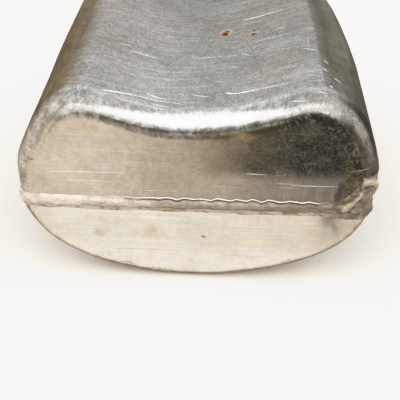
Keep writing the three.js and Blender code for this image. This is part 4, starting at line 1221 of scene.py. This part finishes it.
def tone_of(p, n, angle, flank, back):
    """The sheet's broad colour: cream to grey-brown on its base, grey on its back, brown and dark grey on its flanks,
    darker the more they face sideways (brown oxide with painted shade), with a painted highlight, painted shade and
    painted reflections along the bend and down the sides.
    """
    x, y, z = p.T
    wob, fine_wob = noise(p, 16, 71, 3), noise(p, 4.5, 72, 3)
    at = x + 4 * wob + 1.5 * fine_wob
    if back:
        # the upper base darkens towards its right: tarnish, with a painted dark reflection in it
        high = between(at, [(-60, (.54, .475, .385)), (-32, (.53, .475, .395)), (-21, (.455, .40, .325)), (-4, (.33, .282, .222)), (8, (.215, .175, .125)),
                            (20, (.083, .075, .054)), (34, (.051, .050, .042)), (60, (.041, .040, .033))])
        low = between(at, [(-60, (.54, .475, .385)), (-32, (.53, .47, .39)), (-12, (.36, .316, .25)), (14, (.33, .287, .228)), (28, (.19, .168, .142)),
                           (46, (.145, .130, .106)), (60, (.12, .104, .08))])
        base = blend(low, high, smooth(z + 1.0 * wob + 0.6 * fine_wob, 41.5, 47.0)) * [0.99, 1.00, 1.045]
        base = base * (1 - 0.09 * (1 - smooth(x, -30, -5)) * (0.6 + 0.9 * noise(p, 13, 76, 3)))[:, None]
        climb = SEAM_Z + 3.0 + 10.4 * smooth(x, 46.8, 59.5)
        base = blend(base, (.10, .085, .055), 0.8 * smooth(x + 0.8 * fine_wob, 47.6, 50.4) * smooth(z - climb, -2.5, -0.8))
    else:
        base = between(at, [(-60, (.58, .515, .42)), (-45, (.645, .60, .535)), (0, (.62, .575, .505)), (36, (.575, .52, .44)), (60, (.44, .375, .29))])
        base = blend(base, (.71, .675, .63), 1 - smooth(z + wob, 6, 20)) * [1.02, 1.045, 1.09]
        smudge = np.exp(-((x - 45.2 + 2.2 * fine_wob) / 2.7) ** 2 - ((z - 27.2 + 1.6 * fine_wob) / 2.9) ** 2)
        smudge = np.maximum(smudge, 0.8 * np.exp(-((x - 47.4 + 0.5 * (z - 24) + 1.5 * fine_wob) / 1.3) ** 2 - ((z - 24.6) / 3.0) ** 2))
        base = blend(base, (.13, .10, .07), 0.85 * smudge)
    sheet = between(x, [(-40, (1.0, .99, .98)), (-14, (.97, .975, .965)), (4, (.84, .85, .84)), (36, (.87, .88, .865))])
    sheet = sheet * [0.78, 0.80, 0.825]
    sheet = sheet * (1 + 0.11 * noise(p, 30, 73, 2) + 0.07 * noise(p, 9, 74, 3))[:, None]
    sheet = blend(sheet, (.54, .595, .60), 0.5 * smooth(y, 84, 104) * (1 - smooth(np.abs(x + 10), 10, 26)))
    sheet = sheet * (1 - 0.30 * smooth(y + 2 * wob, 106, 150))[:, None]
    # the flanks: darker the more the sheet faces sideways, brown oxide with painted shade
    tilt = flank + 0.07 * wob + 0.05 * noise(p, (3.0, 9.0, 3.0), 75, 2)
    left = between(-tilt, [(0.04, (1, 1, 1)), (.22, (.80, .775, .73)), (.40, (.44, .385, .31)), (.60, (.215, .165, .105)), (.80, (.105, .068, .030)),
                           (.90, (.055, .031, .011)), (1.0, (.030, .016, .006))])
    right_ = between(tilt, [(0.02, (1, 1, 1)), (.12, (.78, .78, .76)), (.26, (.52, .525, .50)), (.50, (.30, .302, .275)), (.70, (.175, .172, .15)),
                            (.86, (.060, .055, .043)), (.96, (.045, .038, .027)), (1.0, (.12, .10, .07))])
    # strip_at: a light tan strip painted on the right flank as a reflection of the floor
    strip_at = smooth(flank, .90, .97) * smooth(z + 1.2 * fine_wob, 36, 42) * (1 - smooth(z + 1.5 * wob, 50, 54))
    near = (1 - smooth(y + 10 * noise(p, 34, 77, 3), 84, 182)) * (0.75 + 0.25 * back)
    near = near * (1 - (1 - smooth(angle, 50, 84)) * (1 - smooth(np.abs(flank), .42, .8)) * back)
    sheet = sheet * (1 + (left * right_ - 1) * near[:, None])
    # painted shade: the right flank is darker near the base
    sheet = sheet * (1 - 0.45 * smooth(flank, .45, .8) * (1 - smooth(y, 12, 44)))[:, None]
    rubbed = smooth(noise(p, (16, 34, 9), 78, 3), .02, .5) * smooth(np.abs(flank), .8, .97) * smooth(y, 30, 90)
    sheet = blend(sheet, (.34, .305, .25), 0.55 * rubbed)
    sheet = blend(sheet, (.50, .435, .33), 0.85 * strip_at * near)
    if not back:
        sheet = blend(sheet, (.30, .225, .145), 1 - smooth(y, 6, 26))
    # the bend is painted bright along its middle as a highlight, and painted darker as shade, as well as worn matt,
    # where it turns into the humps
    bright = smooth(angle, 13, 24) * (1 - smooth(angle, 62, 84)) * back
    sheet = blend(sheet, (.88, .875, .865), 0.8 * bright * (1 - smooth(np.abs(flank), .25, .6)))
    sheet = sheet * (1 - (0.66 - 0.12 * smooth(-x, 36, 50)) * dimmed(x, angle) * back)[:, None]
    # where the bend turns into a flank it is mottled grey-brown, painted near black on the right as shade
    turned = flank ** 2
    mottled = blend(np.tile((.42, .38, .32), (len(p), 1)), (.31, .275, .22), smooth(fine_wob, -.3, .4))
    if back:
        sheet = blend(sheet, mottled * np.where(x > 0, .12, 1)[:, None], 0.9 * turned * (1 - smooth(angle, 60, 86)))
        # painted highlight: the bend's bright line is painted on down the side as a duller band
        rim = smooth(angle, 22, 33) * (1 - smooth(angle, 46, 60)) * smooth(z + 2 * fine_wob, 38, 48)
        fading = 0.25 + 0.75 * smooth(z + 2 * wob, 46, 60)
        sheet = blend(sheet, (.34, .325, .315), 0.75 * rim * fading * smooth(flank, .35, .6) * np.clip(0.75 + 0.7 * fine_wob, 0.2, 1.2))
        sheet = blend(sheet, (.50, .475, .455), 0.55 * rim * smooth(-flank, .35, .6) * (0.9 + 0.3 * fine_wob))
    return blend(base, sheet, smooth(angle + 3 * fine_wob, (4 if back else 10) + 4 * turned, (15 if back else 34) + 16 * turned))


def paint_shell(ob, info, back):
    """The sheet's broad tone, and where it is flat, dull, dark along its bend (dirt with a painted dark reflection),
    stained (tarnish with a painted dark reflection) or pitted, as values on the vertices.
    """
    p, n, depth = info
    x, y, z = p.T
    angle = np.degrees(np.arccos(np.clip(-n[:, 1], -1, 1)))
    wob, fine_wob = noise(p, 9, 61, 3), noise(p, 3.4, 62, 3)
    point_values(ob, "flat", smooth(-n[:, 1], 0.90, 0.985))
    flank = n[:, 0] / np.maximum(np.hypot(n[:, 0], n[:, 2]), 0.05)
    flank = np.where(flank * x > 0, flank, 0) * smooth(np.abs(x), 28, 40)
    colour_values(ob, "tone", tone_of(p, n, angle, flank, back))
    # edge: the dark band on the bend just under its highlight and the dark fringe on the base beside it, dirt with a
    # painted dark reflection
    upper = smooth(z, 34, 50)
    strength = np.interp(x, [-62, -54, -48, -42, -30, -18, 0, 20, 34, 46, 54, 62], [.06, .10, .36, .72, .92, .95, .88, .95, 1, 1, .95, .8])
    centre = np.interp(x, [-62, -50, -36, -16, 0, 14, 26, 33, 40, 62], [7, 7, 9, 13, 15, 15, 13, 9, 3, 3]) + 1.5 * wob
    spread = np.interp(x, [-62, -50, -36, -16, 0, 14, 26, 33, 40, 62], [5, 5, 6, 8.5, 9, 9, 9, 8, 6, 6])
    band = np.exp(-((angle - centre) / spread) ** 2) * (angle > 1)
    reach = np.interp(x, [-62, -50, -36, -16, 0, 20, 40, 62], [2.2, 1.8, .9, .9, 1.1, 1.8, 4.2, 3.6])
    fringe = np.interp(x, [-62, -48, -36, 0, 22, 34, 62], [.22, .26, .42, .60, .85, 1.1, 1.0]) * np.exp(-(depth / (reach * (1 + 0.6 * wob))) ** 2) * (angle <= 1.0001)
    point_values(ob, "edge", np.clip(np.maximum(band, fringe) * upper * strength, 0, 1.1) if back else np.zeros(len(p)))
    on_base = smooth(-n[:, 1], 0.55, 0.95)
    # the dark upper right of the base: tarnish, with a painted dark reflection in it
    stain_and_dark_reflection = smooth(x + 9 * wob + 3 * fine_wob, 4, 40) * smooth(z + 1.4 * wob + 0.8 * fine_wob, 42.0, 47.5)
    stain_and_dark_reflection = np.maximum(stain_and_dark_reflection, 0.30 * smooth(x + 6 * wob, -10, 20) * smooth(z, 40, 46))
    climb = SEAM_Z + 3.0 + 10.4 * smooth(x, 46.8, 59.5)
    stain_and_dark_reflection = np.maximum(stain_and_dark_reflection, 0.80 * smooth(x + 0.8 * fine_wob, 47.6, 50.4) * smooth(z - climb, -2.5, -0.8))
    stain_and_dark_reflection = np.clip(stain_and_dark_reflection * smooth(-n[:, 1], 0.93, 0.99), 0, 1) * back
    point_values(ob, "stain_and_dark_reflection", stain_and_dark_reflection)
    point_values(ob, "drawn", smooth(x, 20, 32) * (1 - smooth(x, 44, 50)) * (1 - smooth(z, 41, 47)) * smooth(z, 33, 36) * back)
    hump = dimmed(x, angle) * 0.6 * back
    worn = np.maximum.reduce([0.75 * smooth(-flank, .30, .85), 0.70 * smooth(flank, .35, .75) * (1 - 0.5 * smooth(flank, .925, .96)), 0.55 * stain_and_dark_reflection, hump,
                               0.6 * smooth(angle, 8, 25) * smooth(np.abs(flank), .5, .8) * (1 - smooth(y, 8, 24))])
    if not back:
        worn = np.maximum(worn, 0.7 * smooth(angle, 10, 34) * (1 - smooth(y, 8, 24)))
    point_values(ob, "worn", np.clip(worn, 0, 1))
    for kind, ovals in STAINS.items():
        value = np.zeros(len(p))
        for plane, cx, cy, rx, ry, amount in ovals:
            on = on_base if plane == "xz" else 1 - on_base
            v = z - cy * 1000 if plane == "xz" else y - MID - cy * 1000
            r2 = ((x - cx * 1000 + 1.6 * fine_wob) / (rx * 1000)) ** 2 + ((v + 1.2 * wob) / (ry * 1000)) ** 2
            value = np.maximum(value, amount * on * np.exp(-1.3 * r2))
        point_values(ob, kind, value)
    pits = np.exp(-(((x + 50) / 9) ** 2 + ((z - 55) / 9) ** 2)) + smooth(x, 34, 50) * smooth(z, 40, 60)
    pits = np.maximum(pits, 0.5 * smooth(n[:, 0], 0.1, 0.5))
    point_values(ob, "pits", np.clip(pits, 0, 1))


paint_shell(shell_back, back_info, True)
paint_shell(shell_front, front_info, False)
back_marks = build_scratches("back_marks", shell_back, [("xy", *q) for q in BACK_SCRATCHES] + [("xz", *q) for q in BASE_SCRATCHES])
front_marks = build_scratches("front_marks", shell_front, [("xz", *q) for q in FRONT_SCRATCHES])

def scratch_material(name):
    m = Nodes(name)
    bright = m.attribute("bright")
    broken = m.step(m.noise(1500, 3, 0.6), 0.26, 0.50, 0.45, 1.0)
    level = m.math("MULTIPLY", bright, broken)
    # painted glint: the scratches are coloured near white and made less metallic, where the real ones catch the light
    m.put(m.bsdf.inputs["Base Color"], m.mix(level, (0.36, 0.35, 0.33), (0.95, 0.945, 0.92)))
    m.put(m.bsdf.inputs["Metallic"], m.math("SUBTRACT", 1.0, m.math("MULTIPLY", level, 0.85)))
    m.put(m.bsdf.inputs["Roughness"], m.step(m.noise(900, 3, 0.6), 0.3, 0.7, 0.38, 0.60))
    m.put(m.bsdf.inputs["Normal"], m.bump(m.noise(2200, 3, 0.6), 0.00003, 0.4))
    return m.mat


mats = {
    "scratch": scratch_material("scratch_burr_and_glint"),
    "back": shell_material("back_sheet", True),
    "front": shell_material("front_sheet", False),
    "weld": weld_material("weld_metal"),
    "turned": metal_material("turned_metal", (0.52, 0.51, 0.49), 0.28, 0.47, rings=True),
    "plate": metal_material("plate_metal", (0.54, 0.54, 0.52), 0.32, 0.50),
    "steel": metal_material("steel_wire", (0.40, 0.38, 0.35), 0.30, 0.52, scale=1.6),
    "cork": cork_material("cork"),
}


def dress(ob, material, body, node_list):
    ob.data.materials.clear()
    ob.data.materials.append(mats[material])
    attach(ob, body)
    if node_list:
        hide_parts(*node_list)


dress(shell_back, "back", "bottle", ["back_shell"])
dress(shell_front, "front", "bottle", ["front_shell"])
dress(weld_bead, "weld", "bottle", ["seam_weld"])
dress(neck, "turned", "bottle", ["spout"])
for ob_ in (neck_weld,):
    point_values(ob_, "gap", np.zeros(len(ob_.data.vertices)))
    point_values(ob_, "foot", np.full(len(ob_.data.vertices), 0.3))
    point_values(ob_, "burnt", np.full(len(ob_.data.vertices), 0.3))
    point_values(ob_, "lip", np.zeros(len(ob_.data.vertices)))
    colour_values(ob_, "tone", np.tile((0.56, 0.53, 0.49), (len(ob_.data.vertices), 1)))
dress(neck_weld, "weld", "bottle", ["spout_weld"])
dress(chain_strap, "steel", "bottle", ["chain_bracket"])
dress(screw_cap, "turned", "cap", ["cap"])
dress(cork_disc, "cork", "cap", ["cap_gasket"])
dress(cork_plate, "plate", "cap", ["gasket_retainer"])
dress(swivel_pin, "steel", "cap_pin", ["cap_pin"])
dress(rivet_washer, "plate", "cap_pin", ["pin_washer"])
dress(back_marks, "scratch", "bottle", [])
dress(front_marks, "scratch", "bottle", [])
for i, link in enumerate(links, 1):
    dress(link, "steel", f"link_{i:02d}", [f"chain_link_{i:02d}"])

# ------------------------------------------------------------------------------------- floor, light and the camera
floor_mesh = bpy.data.meshes.new("floor")
floor_mesh.from_pydata([(-12, -12, 0), (12, -12, 0), (12, 12, 0), (-12, 12, 0)], [], [(0, 1, 2, 3)])
floor = bpy.data.objects.new("floor", floor_mesh)
bpy.context.scene.collection.objects.link(floor)
fl = Nodes("floor_cloth")
weave = fl.noise(7, 3, 0.5)
fl.put(fl.bsdf.inputs["Base Color"], fl.mix(weave, (0.870, 0.845, 0.795), (0.885, 0.862, 0.815)))
fl.bsdf.inputs["Roughness"].default_value = 0.9
fl.bsdf.inputs["Specular IOR Level"].default_value = 0.1
floor_mesh.materials.append(fl.mat)


world = bpy.data.worlds.new("studio")
bpy.context.scene.world = world
world.use_nodes = True
wt = world.node_tree
wt.nodes.clear()


def wmath(op, a, b=None):
    n = wt.nodes.new("ShaderNodeMath")
    n.operation = op
    for i, v in enumerate((a, b)):
        if isinstance(v, bpy.types.NodeSocket):
            wt.links.new(v, n.inputs[i])
        elif v is not None:
            n.inputs[i].default_value = v
    return n.outputs[0]


def wstep(value, lo, hi, a=0.0, b=1.0):
    n = wt.nodes.new("ShaderNodeMapRange")
    n.interpolation_type = "SMOOTHSTEP"
    wt.links.new(value, n.inputs[0])
    for i, v in ((1, lo), (2, hi), (3, a), (4, b)):
        n.inputs[i].default_value = v
    return n.outputs[0]


# The room: an even light over the front half with a brighter window in it, a soft light high at each side, and a grey wall behind.
w_out = wt.nodes.new("ShaderNodeOutputWorld")
w_bg = wt.nodes.new("ShaderNodeBackground")
w_dir = wt.nodes.new("ShaderNodeSeparateXYZ")
w_co = wt.nodes.new("ShaderNodeTexCoord")
wt.links.new(w_co.outputs["Generated"], w_dir.inputs[0])
dx, dy, dz = w_dir.outputs
# angle up from the front horizon, over the top, to the back horizon: 0 to 180 degrees
sweep_angle = wmath("MULTIPLY", wmath("ARCTAN2", dz, wmath("MULTIPLY", dy, -1.0)), 180 / math.pi)
ceiling = wmath("MULTIPLY", wstep(sweep_angle, 14.0, 40.0), wstep(sweep_angle, 58.0, 98.0, 1.0, 0.0))
ceiling = wmath("MULTIPLY", ceiling, wstep(wmath("ABSOLUTE", dx), 0.45, 0.85, 1.0, 0.0))
broad = wmath("MULTIPLY", wmath("MULTIPLY", wstep(sweep_angle, 0.0, 14.0), wstep(sweep_angle, 10.0, 50.0, 0.45, 1.15)), wstep(sweep_angle, 90.0, 118.0, 1.0, 0.0))
broad = wmath("MULTIPLY", broad, wstep(wmath("ABSOLUTE", dx), 0.55, 0.90, 0.85, 0.25))
wall = wmath("MULTIPLY", wstep(sweep_angle, 90.0, 120.0), 0.46)
side = wmath("MULTIPLY", wstep(wmath("ABSOLUTE", dx), 0.3, 0.9), 0.42)
boxes = wmath("MULTIPLY", wstep(wmath("ABSOLUTE", dx), 0.42, 0.66), wstep(dz, 0.25, 0.50, 0.0, 0.75))
side = wmath("ADD", side, boxes)
level = wmath("ADD", wmath("ADD", wmath("MULTIPLY", ceiling, 1.5), wmath("ADD", broad, wall)), wmath("ADD", side, 0.10))
wt.links.new(level, w_bg.inputs["Strength"])
# the light low down in the room is warm
w_tint = wt.nodes.new("ShaderNodeMix")
w_tint.data_type = "RGBA"
wt.links.new(wstep(dz, 0.10, 0.45), w_tint.inputs["Factor"])
w_tint.inputs[6].default_value = (1.0, 0.80, 0.56, 1)
w_tint.inputs[7].default_value = (1.0, 0.992, 0.98, 1)
wt.links.new(w_tint.outputs[2], w_bg.inputs["Color"])
wt.links.new(w_bg.outputs[0], w_out.inputs[0])

# plain display colours, with the brightest tones rolled off softly, as a camera does
view = bpy.context.scene.view_settings
view.view_transform = "Standard"
view.use_curve_mapping = True
view.curve_mapping.use_clip = False
curve = view.curve_mapping.curves[3]
curve.points[0].location, curve.points[1].location = (0.0, 0.0), (1.0, 1.0)
for bright, shown in ((0.72, 0.72), (0.95, 0.895), (1.25, 0.937), (1.80, 0.985)):
    curve.points.new(bright / 2.5, shown)
for point in curve.points:
    point.handle_type = "VECTOR"
view.curve_mapping.white_level = (2.5, 2.5, 2.5)
view.curve_mapping.update()

cam_data = bpy.data.cameras.new("camera")
cam_data.sensor_width = 36.0
cam_data.lens = 71.71
cam_data.clip_start, cam_data.clip_end = 0.01, 60
camera = bpy.data.objects.new("camera", cam_data)
bpy.context.scene.collection.objects.link(camera)
right = Vector((0.99908, 0.04049, 0.01401)).normalized()
forward = Vector((-0.02623, 0.83664, -0.54713)).normalized()
up = right.cross(forward).normalized()
right = forward.cross(up).normalized()
rot = Matrix((right, up, -forward)).transposed()
camera.matrix_world = Matrix.Translation(Vector((0.00834, -0.31947, 0.18127))) @ rot.to_4x4()
bpy.context.scene.camera = camera

bpy.context.view_layer.update()
